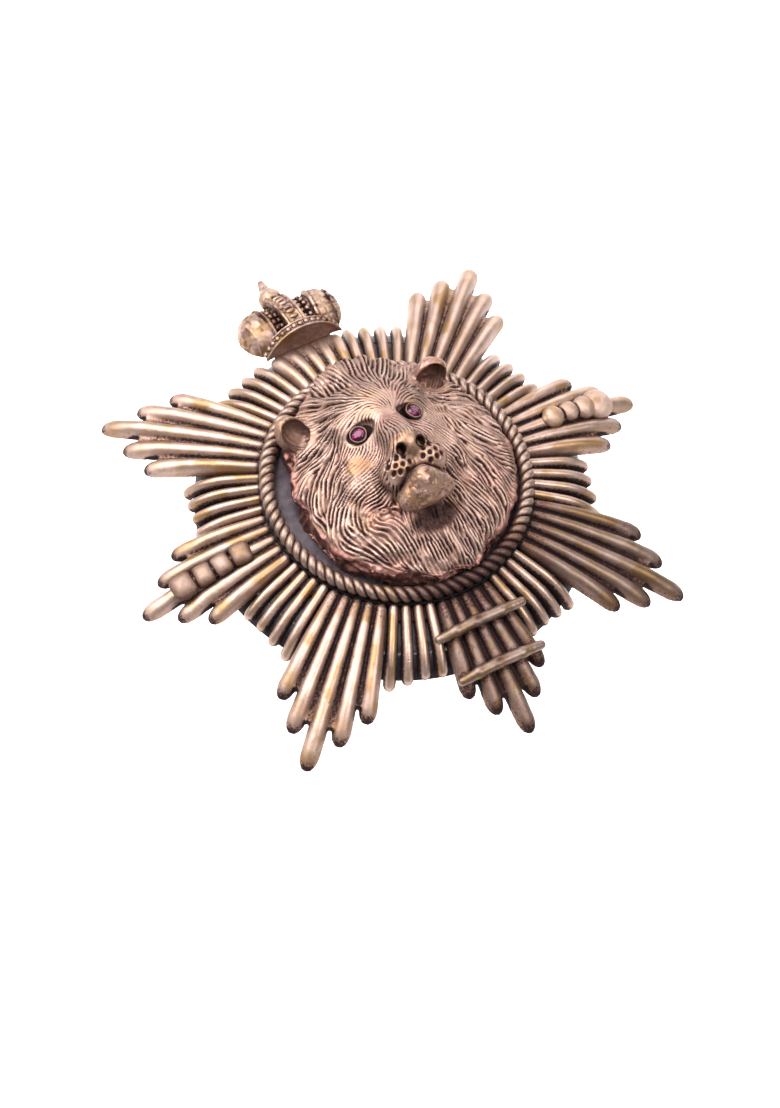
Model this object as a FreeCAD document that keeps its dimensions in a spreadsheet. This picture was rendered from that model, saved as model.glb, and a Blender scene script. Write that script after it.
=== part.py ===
import FreeCAD, Part
import Sketcher
import math
import os

# Star-shaped cap badge: a domed blackened plate carries eight ray plumes, a rope
# ring and a hollow lion head; a crown stands on the top plume and a brooch pin
# with a roll-over safety catch is soldered inside the dome of the plate.
# Frame: +Z out of the face, +Y towards the crown, origin at the star's centre in
# the plane of the four long plume tips, on which the badge rests. Millimetres.

Vec = FreeCAD.Vector
Rot = FreeCAD.Rotation
UP = Vec(0, 0, 1)

# ---------------------------------------------------------------- dimensions
DIMENSIONS = {
    # star
    "dome_radius": 89.0,        # sphere that the plumes and the plate follow
    "diagonal_tip": 35.0,       # centre of the star to the longest diagonal ray
    "cardinal_tip": 32.3,       # the same for the left, right and bottom plumes
    "ray_pitch": 5.0,           # degrees between neighbouring rays
    "ray_height": 1.82,
    "web_thick": 0.85,
    "ray_root": 16.05,          # rays start just outside the rope ring
    "root_width": 1.05,
    "ray_taper": 0.0676,        # growth of a plume ray's width per mm of radius
    # plate, dish and rope
    "plate_thick": 0.9,
    "plate_bend": 19.0,         # radius at which the rim starts to turn down
    "rim_reach": 24.0,          # radius at which the turned rim would be upright
    "rim_low": 2.0,             # height of the plate's outer edge
    "pierce_bore": 0.22,
    "pierce_ring": 20.6,
    "dish_radius": 15.85,
    "dish_ledge": 14.0,
    "dish_floor": 0.62,
    "rope_ring": 15.0,
    "rope_half": 0.87,
    "ledge_top": 6.85,
    # fastening of the head
    "stud_half": 1.2,
    "stud_low": 2.95,
    "stud_top": 12.4,
    "stud_hole": 1.3,
    "washer_half": 3.4,
    "washer_thick": 0.5,
    "nut_flats": 5.0,
    "nut_thick": 1.8,
    # eyes
    "stone_half": 0.78,
    "bezel_wall": 0.3,
    "bezel_deep": 0.75,
    # crown
    "crown_foot": 21.9,
    "crown_tilt": 16.4,
    "band_high": 3.0,
    "band_wide": 5.4,
    "band_deep": 1.15,
    "ball_level": 2.6,
    "finial_long": 1.3,
    "rivet_half": 0.45,
    # trims on the side and bottom plumes
    "bar_half": 0.5,
    "bead_high": 1.05,
    "strip_high": 0.45,
    # brooch pin
    "pin_half": 0.45,
    "pin_line": 8.0,            # the pin lies above the centre of the star
    "pin_level": 2.6,
    "hinge_reach": 12.5,
    "stem_start": 10.4,         # straight round stretch of the pin
    "stem_end": 9.9,
    "point_long": 6.4,
    "catch_reach": 12.2,
    "eye_half": 1.05,
    "ear_thick": 0.7,
    "catch_half": 1.75,
    "catch_bore": 1.22,
    "rotor_half": 1.15,
    "rotor_bore": 0.62,
    "catch_long": 1.6,
}

os.makedirs("parts", exist_ok=True)
doc = FreeCAD.newDocument("CapBadge")
sheet = doc.addObject("Spreadsheet::Sheet", "Sizes")
for row, (alias, value) in enumerate(DIMENSIONS.items(), start=1):
    sheet.set("A%d" % row, alias)
    sheet.set("B%d" % row, str(value))
    sheet.setAlias("B%d" % row, alias)
doc.recompute()

made = {}


def size(alias):
    return float(getattr(sheet, alias))


def name_part(thing, label):
    thing.Label = label
    made[label] = thing
    return thing


def place(thing, x=0, y=0, z=0, axis=UP, angle=0):
    thing.Placement = FreeCAD.Placement(Vec(x, y, z), Rot(axis, angle))
    return thing


def bind(thing, **cells):
    for prop, cell in cells.items():
        thing.setExpression(prop, cell)
    return thing


# ------------------------------------------------- building blocks (CSG side)
def cylinder(name, radius, height, **where):
    c = bind(doc.addObject("Part::Cylinder", name), Radius=radius, Height=height)
    return place(c, **where)


def sphere(name, radius, **where):
    return place(bind(doc.addObject("Part::Sphere", name), Radius=radius), **where)


def block(name, low, high):
    b = doc.addObject("Part::Box", name)
    b.Length, b.Width, b.Height = [h - l for l, h in zip(low, high)]
    return place(b, *low)


def ellipsoid(name, centre, radii):
    e = doc.addObject("Part::Ellipsoid", name)
    e.Radius2, e.Radius3, e.Radius1 = radii
    e.Angle1, e.Angle2, e.Angle3 = -90, 90, 360
    return place(e, *centre)


def fuse(name, *shapes):
    f = doc.addObject("Part::MultiFuse", name)
    f.Shapes = list(shapes)
    f.Refine = True
    return f


def cut(name, base, tool):
    c = doc.addObject("Part::Cut", name)
    c.Base, c.Tool = base, tool
    return c


def common(name, *shapes):
    c = doc.addObject("Part::MultiCommon", name)
    c.Shapes = list(shapes)
    return c


def plain(label, shape, **where):
    feature = doc.addObject("Part::Feature", label)
    feature.Shape = shape
    return name_part(place(feature, **where), label)


# ------------------------------------------- building blocks (sketched bodies)
def new_body(label):
    return name_part(doc.addObject("PartDesign::Body", label), label)


def new_sketch(body, role="XY_Plane", offset=0.0):
    sketch = body.newObject("Sketcher::SketchObject", body.Name + "_sketch")
    plane = [f for f in body.Origin.OriginFeatures if f.Role == role][0]
    sketch.AttachmentSupport = [(plane, "")]
    sketch.MapMode = "FlatFace"
    sketch.AttachmentOffset = FreeCAD.Placement(Vec(0, 0, offset), Rot())
    return sketch


def draw_circle(sketch, x, y, radius_cell):
    index = sketch.addGeometry(Part.Circle(Vec(x, y, 0), UP, 1.0))
    sketch.addConstraint(Sketcher.Constraint("DistanceX", -1, 1, index, 3, x))
    sketch.addConstraint(Sketcher.Constraint("DistanceY", -1, 1, index, 3, y))
    radius = sketch.addConstraint(Sketcher.Constraint("Radius", index, 1.0))
    sketch.setExpression("Constraints[%d]" % radius, radius_cell)


def draw_polygon(sketch, points):
    first = sketch.GeometryCount
    count = len(points)
    for a, b in zip(points, points[1:] + points[:1]):
        sketch.addGeometry(Part.LineSegment(Vec(a[0], a[1], 0), Vec(b[0], b[1], 0)))
    for i in range(count):
        pair = Sketcher.Constraint("Coincident", first + i, 2, first + (i + 1) % count, 1)
        sketch.addConstraint(pair)


def draw_rectangle(sketch, low, high):
    draw_polygon(sketch, [low, (high[0], low[1]), high, (low[0], high[1])])


def pad(body, sketch, length, reverse=False):
    feature = body.newObject("PartDesign::Pad", sketch.Name + "_pad")
    feature.Profile = sketch
    feature.Reversed = reverse
    bind(feature, Length=length)
    doc.recompute()
    return feature


# ---------------------------------------------------------------- the dome
TWICE_DOME = 2 * size("dome_radius")
STAR_TOP = size("diagonal_tip") ** 2 / TWICE_DOME     # underside of the rays at the centre
SEAT_GAP = 0.03                                       # solder line between castings
PLATE_TOP = STAR_TOP - SEAT_GAP
DOME_CENTRE = PLATE_TOP - size("dome_radius")
PIN_Y, PIN_Z = size("pin_line"), size("pin_level")


def ray_floor(r):
    """Height of the plumes' underside at radius r."""
    return STAR_TOP - r * r / TWICE_DOME


def plate_back(r):
    """Height of the plate's hollow side at radius r, inside the bend."""
    inner = size("dome_radius") - size("plate_thick")
    return DOME_CENTRE + math.sqrt(inner ** 2 - r * r)


# The rim of the plate is an arc, tangent to the dome where the bend starts.
BEND_ANGLE = math.asin(size("plate_bend") / size("dome_radius"))
RIM_RADIUS = (size("rim_reach") - size("plate_bend")) / (1 - math.sin(BEND_ANGLE))
RIM_X = size("rim_reach") - RIM_RADIUS
RIM_Z = DOME_CENTRE + (size("dome_radius") - RIM_RADIUS) * math.cos(BEND_ANGLE)
RIM_ANGLE = math.acos((size("rim_low") - RIM_Z) / RIM_RADIUS)


def arc_points(centre_x, centre_z, radius, start, stop):
    """First, middle and last point of an arc; angles run outward from +Z."""
    angles = (start, (start + stop) / 2, stop)
    return [Vec(centre_x + radius * math.sin(a), centre_z + radius * math.cos(a), 0)
            for a in angles]


def make_backing_plate():
    body = doc.addObject("PartDesign::Body", "plate_disc")
    sketch = new_sketch(body, "XZ_Plane")
    thick = size("plate_thick")
    dome = size("dome_radius")
    hole = math.asin(size("stud_hole") / dome)
    hole_back = math.asin(size("stud_hole") / (dome - thick))
    outer = arc_points(0, DOME_CENTRE, dome, hole, BEND_ANGLE)
    rim = arc_points(RIM_X, RIM_Z, RIM_RADIUS, BEND_ANGLE, RIM_ANGLE)
    rim_back = arc_points(RIM_X, RIM_Z, RIM_RADIUS - thick, RIM_ANGLE, BEND_ANGLE)
    inner = arc_points(0, DOME_CENTRE, dome - thick, BEND_ANGLE, hole_back)
    for run in (outer, rim, rim_back, inner):
        sketch.addGeometry(Part.Arc(*run))
    sketch.addGeometry(Part.LineSegment(rim[2], rim_back[0]))
    sketch.addGeometry(Part.LineSegment(inner[2], outer[0]))
    turned = body.newObject("PartDesign::Revolution", "plate_turned")
    turned.Profile = sketch
    turned.ReferenceAxis = (sketch, ["V_Axis"])
    turned.Angle = 360
    doc.recompute()
    # small pierced holes between the short rays, five to each group
    punch = doc.addObject("Sketcher::SketchObject", "pierced_holes")
    for group in range(8):
        for step in range(-2, 3):
            angle = math.radians(22.5 + 45 * group + step * size("ray_pitch"))
            x, y = [size("pierce_ring") * f(angle) for f in (math.cos, math.sin)]
            draw_circle(punch, x, y, "Sizes.pierce_bore")
    drill = doc.addObject("Part::Extrusion", "pierced_drill")
    drill.Base = punch
    drill.Dir = UP
    drill.LengthFwd = 9
    drill.Solid = True
    return name_part(cut("pierced_plate", body, drill), "backing_plate")


# ---------------------------------------------------------------- rays
def ray_section(r, foot, lean, width, height):
    """D-shaped face of a ray: flat foot, short upright sides, arched crest."""
    out = Vec(math.sin(lean), 0, math.cos(lean))
    base = Vec(r, 0, foot)
    half = width / 2
    side = out * (height * 0.45)
    left, right = base + Vec(0, -half, 0), base + Vec(0, half, 0)
    arch = Part.Arc(right + side, base + out * height, left + side).toShape()
    lines = [Part.makeLine(left, right), Part.makeLine(right, right + side),
             arch, Part.makeLine(left + side, left)]
    return Part.Wire(lines)


def loft(sections):
    return Part.makeLoft(sections, True, True)


def width_at(r):
    """Width of a plume's ray at radius r."""
    return size("root_width") + size("ray_taper") * (r - size("ray_root"))


def plume_ray(tip):
    """One long ray along +X that follows the dome and ends in a rounded nose."""
    root = size("ray_root")
    nose = width_at(tip) / 2
    stations = [root + (tip - nose - root) * i / 4 for i in range(5)]
    sections = [ray_section(r, ray_floor(r), 0, width_at(r), size("ray_height"))
                for r in stations]
    for along, narrow, low in ((0.62, 0.78, 0.9), (1.0, 0.36, 0.62)):
        r = tip - nose + nose * along
        width = width_at(r) * narrow
        sections.append(ray_section(r, ray_floor(r), 0, width, size("ray_height") * low))
    return loft(sections)


def wedge_web(reach, half_angle, thick, floor):
    """Thin web that joins the rays of one casting, turned about the star's axis."""
    root = size("ray_root")
    steps = [root + (reach - root) * i / 5 for i in range(6)]
    lower = [Vec(r, 0, floor(r)) for r in steps]
    upper = [p + Vec(0, 0, thick) for p in reversed(lower)]
    outline = Part.makePolygon(lower + upper + lower[:1])
    face = Part.Face(outline)
    face.rotate(Vec(), UP, -half_angle)
    return face.revolve(Vec(), UP, 2 * half_angle)


def turned(shape, angle):
    copy = shape.copy()
    copy.rotate(Vec(), UP, angle)
    return copy


def plume(tips, web_reach, half_angle=11.0):
    """A casting of five rays, listed from its right edge to its left edge."""
    pitch = size("ray_pitch")
    rays = [turned(plume_ray(tip), pitch * (i - 2)) for i, tip in enumerate(tips)]
    web = wedge_web(web_reach, half_angle, size("web_thick"), ray_floor)
    return web.multiFuse(rays).removeSplitter()


def make_plumes():
    long_tip, flat_tip = size("diagonal_tip"), size("cardinal_tip")
    diagonal = plume([long_tip - 6.2, long_tip - 3.3, long_tip, long_tip - 3.3,
                      long_tip - 6.2], long_tip - 7.2)
    cardinal = plume([flat_tip - 5.6, flat_tip - 3.1, flat_tip, flat_tip - 3.1,
                      flat_tip - 5.6], flat_tip - 6.6)
    for label, angle in (("plume_upper_right", 45), ("plume_upper_left", 135),
                         ("plume_lower_left", 225), ("plume_lower_right", 315)):
        plain(label, diagonal.copy(), angle=angle)
    for label, angle in (("plume_right", 0), ("plume_left", 180), ("plume_bottom", 270)):
        plain(label, cardinal.copy(), angle=angle)
    # the top plume's rays stop at the crown, and its web runs on as a tongue
    stub = size("crown_foot") - 0.9
    top = plume([stub] * 5, size("crown_foot") + 7.6, half_angle=9.0)
    top.rotate(Vec(), UP, 90)
    for x in (-RIVET_X, RIVET_X):
        drill = Part.makeCylinder(size("rivet_half") + 0.02, 4, Vec(x, RIVET_Y, -2.5))
        drill.Placement = CROWN_PLACE.multiply(drill.Placement)
        top = top.cut(drill)
    plain("plume_top", top)


def short_ray(tip):
    """A short ray that lies on the plate and bends down with its rim."""
    width, thick = 1.16, 1.2
    top_radius = RIM_RADIUS + SEAT_GAP + thick
    last = math.asin((tip - RIM_X) / top_radius)
    sections = []
    for r in (size("ray_root"), (size("ray_root") + size("plate_bend")) / 2):
        foot = ray_floor(r)
        sections.append(ray_section(r, foot, 0, width, thick + 0.1))
    steps = 6
    for i in range(steps + 1):
        lean = BEND_ANGLE + (last - BEND_ANGLE) * i / steps
        r = RIM_X + (RIM_RADIUS + SEAT_GAP) * math.sin(lean)
        foot = RIM_Z + (RIM_RADIUS + SEAT_GAP) * math.cos(lean)
        narrow = 0.5 if i == steps else 1.0
        sections.append(ray_section(r, foot, lean, width * narrow, thick * (1 + narrow) / 2))
    return loft(sections)


def make_short_rays():
    """Eight castings of four short rays; the side next to a diagonal is longer."""
    tips = [23.85, 23.9, 24.2, 24.6]
    rays = [short_ray(tip) for tip in tips]
    pitch = size("ray_pitch")
    web = wedge_web(size("ray_root") + 1.6, 9.6, 0.5, ray_floor)
    for number in range(8):
        towards_diagonal = 1 if number % 2 == 0 else -1
        fan = [turned(ray, towards_diagonal * pitch * (i - 1.5)) for i, ray in enumerate(rays)]
        shape = web.multiFuse(fan).removeSplitter()
        plain("short_rays_%d" % (number + 1), shape, angle=22.5 + 45 * number)


# ---------------------------------------------------------------- centre
def make_centre_dish():
    ledge = cut("dish_ledge_ring",
                cylinder("dish_blank", "Sizes.dish_radius", "Sizes.ledge_top - 4", z=4),
                cylinder("dish_hollow", "Sizes.dish_ledge", "Sizes.ledge_top", z=3))
    floor = common("dish_floor_disc",
                   cylinder("floor_blank", "Sizes.dish_ledge + 0.2", "6", z=4),
                   sphere("floor_dome", "Sizes.dome_radius + Sizes.dish_floor + 0.03",
                          z=DOME_CENTRE))
    whole = fuse("dish_whole", ledge, floor)
    below = fuse("dish_below",
                 sphere("dish_seat", "Sizes.dome_radius + 0.03", z=DOME_CENTRE),
                 cylinder("dish_stud_hole", "Sizes.stud_hole", "6", z=4))
    return name_part(cut("dish", whole, below), "centre_dish")


def make_rope_ring():
    rope = bind(doc.addObject("Part::Torus", "rope"),
                Radius1="Sizes.rope_ring", Radius2="Sizes.rope_half")
    return name_part(place(rope, z=size("ledge_top") + size("rope_half") + 0.02), "rope_ring")


EYE_X, EYE_Y, EYE_Z = 3.68, 3.79, 14.95
EYE_LEAN = 16.0
HEAD_FOOT = PLATE_TOP + 0.03 + size("dish_floor") + 0.03


def eye_place(side, deep):
    """Placement on an eye's axis, a given depth below the bezel's rim."""
    turn = Rot(Vec(0, 1, 0), side * EYE_LEAN)
    rim = Vec(side * EYE_X, EYE_Y, EYE_Z)
    return FreeCAD.Placement(rim - turn.multVec(UP) * deep, turn)


def make_lion_head():
    masses = [
        ellipsoid("mane", (0.6, 0.6, HEAD_FOOT), (12.7, 14.9, 6.0)),
        ellipsoid("skull", (0, 2.8, 8.2), (8.6, 9.6, 7.6)),
        ellipsoid("muzzle", (0, -2.8, 12.4), (4.3, 4.0, 7.0)),
        ellipsoid("chin", (0, -4.6, 12.5), (3.6, 2.6, 5.6)),
        ellipsoid("nose_bridge", (0, 1.2, 13.6), (1.9, 5.0, 3.2)),
        ellipsoid("ear_left", (-9.1, 9.1, 9.8), (2.3, 2.3, 2.2)),
        ellipsoid("ear_right", (9.1, 9.1, 9.8), (2.3, 2.3, 2.2)),
    ]
    whole = fuse("head_masses", *masses)
    hollow = ellipsoid("head_hollow", (0.3, 1.0, HEAD_FOOT), (10.0, 11.2, 5.2))
    boss = cylinder("head_boss", "2 * Sizes.stud_half", "9", z=4.5)
    shell = cut("head_shell", whole, cut("head_void", hollow, boss))
    rope_room = cut("rope_room",
                    cylinder("rope_room_out", "Sizes.rope_ring + 4", "5.2", z=3.6),
                    cylinder("rope_room_in", "Sizes.rope_ring - 1.35", "6", z=3))
    below = block("head_below", (-20, -20, -2), (20, 20, HEAD_FOOT))
    thread = cylinder("head_thread", "Sizes.stud_half + 0.02", "Sizes.stud_top + 0.2")
    removed = [rope_room, below, thread]
    for side, word in ((-1, "left"), (1, "right")):
        socket = cylinder("socket_" + word,
                          "Sizes.stone_half + Sizes.bezel_wall + 0.02", "4")
        socket.Placement = eye_place(side, size("bezel_deep") + 0.02)
        removed.append(socket)
    return name_part(cut("head", shell, fuse("head_removed", *removed)), "lion_head")


def make_eyes():
    for side, word in ((-1, "left"), (1, "right")):
        tube = cylinder("bezel_tube_" + word, "Sizes.stone_half + Sizes.bezel_wall",
                        "Sizes.bezel_deep")
        seat = cylinder("bezel_seat_" + word, "Sizes.stone_half + 0.02", "2", z=0.2)
        bezel = name_part(cut("bezel_" + word, tube, seat), "eye_bezel_" + word)
        bezel.Placement = eye_place(side, size("bezel_deep"))
        girdle = cylinder("stone_girdle_" + word, "Sizes.stone_half", "1.2")
        dome = sphere("stone_dome_" + word, "1.15", z=-0.12)
        stone = name_part(common("stone_" + word, girdle, dome), "eye_stone_" + word)
        stone.Placement = eye_place(side, size("bezel_deep") - 0.22)


def make_stud():
    stud = cylinder("stud_rod", "Sizes.stud_half", "Sizes.stud_top - Sizes.stud_low",
                    z=size("stud_low"))
    name_part(stud, "centre_stud")
    washer_top = plate_back(size("washer_half")) - 0.02
    washer = new_body("stud_washer")
    ring = new_sketch(washer)
    draw_circle(ring, 0, 0, "Sizes.washer_half")
    draw_circle(ring, 0, 0, "Sizes.stud_hole")
    pad(washer, ring, "Sizes.washer_thick")
    place(washer, z=washer_top - size("washer_thick"))
    nut = new_body("stud_nut")
    hexagon = new_sketch(nut)
    corner = size("nut_flats") / math.sqrt(3)
    draw_polygon(hexagon, [(corner * math.cos(math.radians(60 * i)),
                            corner * math.sin(math.radians(60 * i))) for i in range(6)])
    draw_circle(hexagon, 0, 0, "Sizes.stud_half + 0.02")
    pad(nut, hexagon, "Sizes.nut_thick")
    nut_top = washer_top - size("washer_thick") - 0.02
    place(nut, z=nut_top - size("nut_thick"))


# ---------------------------------------------------------------- crown
# The crown has its own frame: Y runs up the badge along the tongue of the top
# plume, Z stands square to the tongue.
RIVET_X, RIVET_Y = 2.5, 4.2
TONGUE_MIDDLE = size("crown_foot") + 4.2
TONGUE_SLOPE = math.tan(math.radians(size("crown_tilt")))
CROWN_Z = (ray_floor(TONGUE_MIDDLE) + size("web_thick") + 0.04
           + TONGUE_SLOPE * (TONGUE_MIDDLE - size("crown_foot")))
CROWN_PLACE = FreeCAD.Placement(Vec(0, size("crown_foot"), CROWN_Z),
                                Rot(Vec(1, 0, 0), -size("crown_tilt")))


def rod_along_y(name, radius, length, x, y, z):
    return cylinder(name, radius, length, x=x, y=y, z=z, axis=Vec(1, 0, 0), angle=-90)


def make_crown():
    band_drop = size("band_high") - size("band_wide")
    slab = block("crown_slab", (-4.3, 0.4, 0), (4.3, 6.6, 0.9))
    arch_width = block("arch_width", (-0.95, 0.5, 0), (0.95, 7.4, 4))
    arch_dome = ellipsoid("arch_dome", (0, 1.4, 0), (4, 6.2, 3.6))
    band = rod_along_y("crown_band", "Sizes.band_wide", "Sizes.band_deep", 0, 0, band_drop)
    lobes = [ellipsoid("crown_lobe_%d" % (i + 1), (x, 3.6, 0.5), (2.75, 3.1, 2.7))
             for i, x in enumerate((-3.75, 3.75))]
    ball_y, ball_z = 7.1, size("ball_level")
    ball = ellipsoid("finial_ball", (0, ball_y, ball_z), (1.25, 1.3, 1.2))
    tip = bind(doc.addObject("Part::Cone", "finial_tip"), Height="Sizes.finial_long")
    tip.Radius1, tip.Radius2 = 0.6, 0.35
    place(tip, 0, ball_y + 1, ball_z, axis=Vec(1, 0, 0), angle=-90)
    arch = common("crown_arch", arch_width, arch_dome)
    whole = fuse("crown_whole", slab, band, arch, ball, tip, *lobes)
    holes = [cylinder("rivet_hole_%d" % (i + 1), "Sizes.rivet_half + 0.02", "3", x=x,
                      y=RIVET_Y, z=-2) for i, x in enumerate((-RIVET_X, RIVET_X))]
    below = block("crown_below", (-9, -2, -9), (9, 12, 0))
    crown = cut("crown_trimmed", whole, fuse("crown_removed", below, *holes))
    name_part(crown, "crown").Placement = CROWN_PLACE


def make_crown_rivets():
    rivets = []
    for i, x in enumerate((-RIVET_X, RIVET_X)):
        shank = cylinder("rivet_shank_%d" % (i + 1), "Sizes.rivet_half", "1.9", x=x,
                         y=RIVET_Y, z=-0.98)
        head = cylinder("rivet_head_%d" % (i + 1), "2 * Sizes.rivet_half", "0.4", x=x,
                        y=RIVET_Y, z=-1.38)
        rivets.append(fuse("rivet_%d" % (i + 1), shank, head))
    pair = doc.addObject("Part::Compound", "rivet_pair")
    pair.Links = rivets
    name_part(pair, "crown_rivets").Placement = CROWN_PLACE


# ---------------------------------------------------------------- trims
def crest(r):
    return ray_floor(r) + size("ray_height")


def radial_place(r, turn, lift=0.03):
    """Frame on a plume's crest: X runs outward along the slope of the dome."""
    slope = math.degrees(math.atan(2 * r / TWICE_DOME))
    lean = Rot(Vec(0, 1, 0), slope)
    spin = Rot(UP, turn)
    spot = spin.multVec(Vec(r, 0, crest(r) + lift))
    return FreeCAD.Placement(spot, spin.multiply(lean))


def make_bead_rows():
    # left: four cushion-shaped beads on a thin strip
    row = new_body("cushion_bead_row")
    strip = new_sketch(row)
    draw_rectangle(strip, (-4.9, -0.7), (4.9, 0.7))
    pad(row, strip, "Sizes.strip_high")
    bead = new_sketch(row)
    draw_rectangle(bead, (-4.9, -1.4), (-2.7, 1.4))
    bead_pad = pad(row, bead, "Sizes.bead_high")
    pattern = row.newObject("PartDesign::LinearPattern", "bead_pattern")
    pattern.Originals = [bead_pad]
    pattern.Direction = (bead, ["H_Axis"])
    pattern.Length = 7.6
    pattern.Occurrences = 4
    row.Tip = pattern
    row.Placement = radial_place(23.8, 180)
    # right: four round pellets, the last one larger, with a hood round its end
    pellets = [ellipsoid("pellet_%d" % (i + 1), (x, 0, 0.1), (r, 1.25, 1.2))
               for i, (x, r) in enumerate(((-3.6, 1.15), (-1.65, 1.15), (0.25, 1.15), (2.35, 1.4)))]
    bed = block("pellet_bed", (-4.4, -0.6, 0), (4.0, 0.6, size("strip_high")))
    hood = cut("pellet_hood", cylinder("hood_out", "2.2", "0.9", x=2.1),
               block("hood_inside", (-3, -3, -1), (1.6, 3, 3)))
    whole = fuse("pellets_whole", bed, hood, *pellets)
    below = block("pellets_below", (-9, -3, -4), (9, 3, 0))
    name_part(cut("pellets", whole, below), "round_bead_row").Placement = radial_place(24.4, 0)


def make_cross_bars():
    for label, y, half in (("inner_cross_bar", 19.8, 5.2), ("outer_cross_bar", 25.0, 4.95)):
        bar = cylinder(label + "_rod", "Sizes.bar_half", str(2 * half), x=-half, y=-y,
                       z=crest(y) + size("bar_half") + 0.03, axis=Vec(0, 1, 0), angle=90)
        name_part(bar, label)


# ---------------------------------------------------------------- brooch pin
def rod_along_x(name, radius, length, x):
    return cylinder(name, radius, length, x=x, y=PIN_Y, z=PIN_Z, axis=Vec(0, 1, 0), angle=90)


def under_plate(name, low, high):
    """A foot that reaches up to the hollow side of the plate and fits its curve."""
    foot = block(name + "_block", low, high)
    dome = sphere(name + "_dome", "Sizes.dome_radius - Sizes.plate_thick - 0.02", z=DOME_CENTRE)
    return common(name, foot, dome)


def make_hinge():
    x, y, z = size("hinge_reach"), PIN_Y, PIN_Z
    thick = size("ear_thick")
    gap = 1.0                          # half of the room between the two ears
    foot = under_plate("hinge_foot", (x - 1.4, y - gap - thick - 0.4, z + 1.25),
                       (x + 1.4, y + gap + thick + 0.4, 7))
    ears = []
    for i, start in enumerate((y - gap - thick, y + gap)):
        ears.append(rod_along_y("hinge_ear_%d" % (i + 1), "Sizes.eye_half + 0.1",
                                "Sizes.ear_thick", x, start, z))
        ears.append(block("ear_neck_%d" % (i + 1), (x - 1.1, start, z),
                          (x + 1.1, start + thick, z + 1.5)))
    hole = rod_along_y("hinge_hole", "Sizes.rivet_half + 0.01", "6", x, y - 3, z)
    name_part(cut("hinge_drilled", fuse("hinge_solid", foot, *ears), hole), "pin_hinge_base")

    shank = rod_along_y("hinge_shank", "Sizes.rivet_half", "3.5", x, y - 1.75, z)
    heads = [rod_along_y("hinge_head_%d" % (i + 1), "Sizes.rivet_half + 0.35", "0.28", x, start, z)
             for i, start in enumerate((y - 1.72 - 0.28, y + 1.72))]
    name_part(fuse("hinge_pin_solid", shank, *heads), "hinge_rivet")


def make_pin():
    x, start, end = size("hinge_reach"), size("stem_start"), -size("stem_end")
    eye = rod_along_y("pin_eye", "Sizes.eye_half", "1.8", x, PIN_Y - 0.9, PIN_Z)
    shoulder = rod_along_x("pin_shoulder", "0.7", str(x - 0.6 - start), start)
    stem = rod_along_x("pin_stem_rod", "Sizes.pin_half", "Sizes.stem_start + Sizes.stem_end", end)
    point = doc.addObject("Part::Cone", "pin_point")
    bind(point, Radius1="Sizes.pin_half", Height="Sizes.point_long")
    point.Radius2 = 0.06
    place(point, end, PIN_Y, PIN_Z, axis=Vec(0, 1, 0), angle=-90)
    bore = rod_along_y("pin_bore", "Sizes.rivet_half + 0.05", "4", x, PIN_Y - 2, PIN_Z)
    name_part(cut("pin_drilled", fuse("pin_solid", eye, shoulder, stem, point), bore), "pin_stem")


def make_catch():
    length = size("catch_long")
    x = -size("catch_reach") - length / 2
    # fixed hook: a C open downward, on a foot under the plate
    ring = rod_along_x("hook_ring", "Sizes.catch_half", "Sizes.catch_long", x)
    foot = under_plate("hook_foot", (x, PIN_Y - 1.75, PIN_Z + 1.0), (x + length, PIN_Y + 1.75, 7))
    bore = rod_along_x("hook_bore", "Sizes.catch_bore", "4", x - 1)
    mouth = block("hook_mouth", (x - 1, PIN_Y - 0.95, -2), (x + 3, PIN_Y + 0.95, PIN_Z))
    name_part(cut("hook", fuse("hook_solid", ring, foot), fuse("hook_removed", bore, mouth)),
              "catch_base")
    # turning lock: a slotted spool inside the hook, with a thumb tab
    play, flange = 0.08, 0.35
    spool_x = x - play - flange
    spool = rod_along_x("spool", "Sizes.rotor_half", str(length + 2 * (play + flange)), spool_x)
    flanges = [rod_along_x("flange_%d" % (i + 1), "1.6", str(flange), start)
               for i, start in enumerate((spool_x, x + length + play))]
    tab = block("thumb_tab", (spool_x, PIN_Y - 2.4, PIN_Z - 0.45),
                (spool_x + flange, PIN_Y - 1.2, PIN_Z + 0.45))
    slot_bore = rod_along_x("rotor_slot_bore", "Sizes.rotor_bore", "6", spool_x - 1)
    slot = block("rotor_slot", (spool_x - 1, PIN_Y - 0.56, -2), (spool_x + 5, PIN_Y + 0.56, PIN_Z))
    name_part(cut("rotor", fuse("rotor_solid", spool, tab, *flanges),
                  fuse("rotor_removed", slot_bore, slot)), "catch_rotor")


def export_all():
    doc.recompute()
    for item in doc.Objects:
        if "Invalid" in item.State or "Error" in item.State:
            raise RuntimeError("%s failed: %s" % (item.Label, item.State))
    for label, item in made.items():
        shape = item.Shape
        if shape.isNull() or not shape.isValid() or not shape.Solids:
            raise RuntimeError("%s has no valid solid" % label)
        shape.exportStep("parts/%s.step" % label)
        box = shape.BoundBox
        print("%-20s %d solid(s) %9.2f mm3  x %.2f %.2f  y %.2f %.2f  z %.2f %.2f" % (
            label, len(shape.Solids), shape.Volume, box.XMin, box.XMax,
            box.YMin, box.YMax, box.ZMin, box.ZMax))


make_backing_plate()
make_plumes()
make_short_rays()
make_centre_dish()
make_rope_ring()
make_lion_head()
make_eyes()
make_stud()
make_crown()
make_crown_rivets()
make_bead_rows()
make_cross_bars()
make_hinge()
make_pin()
make_catch()
export_all()
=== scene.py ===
import math
from functools import partial, reduce

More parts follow.
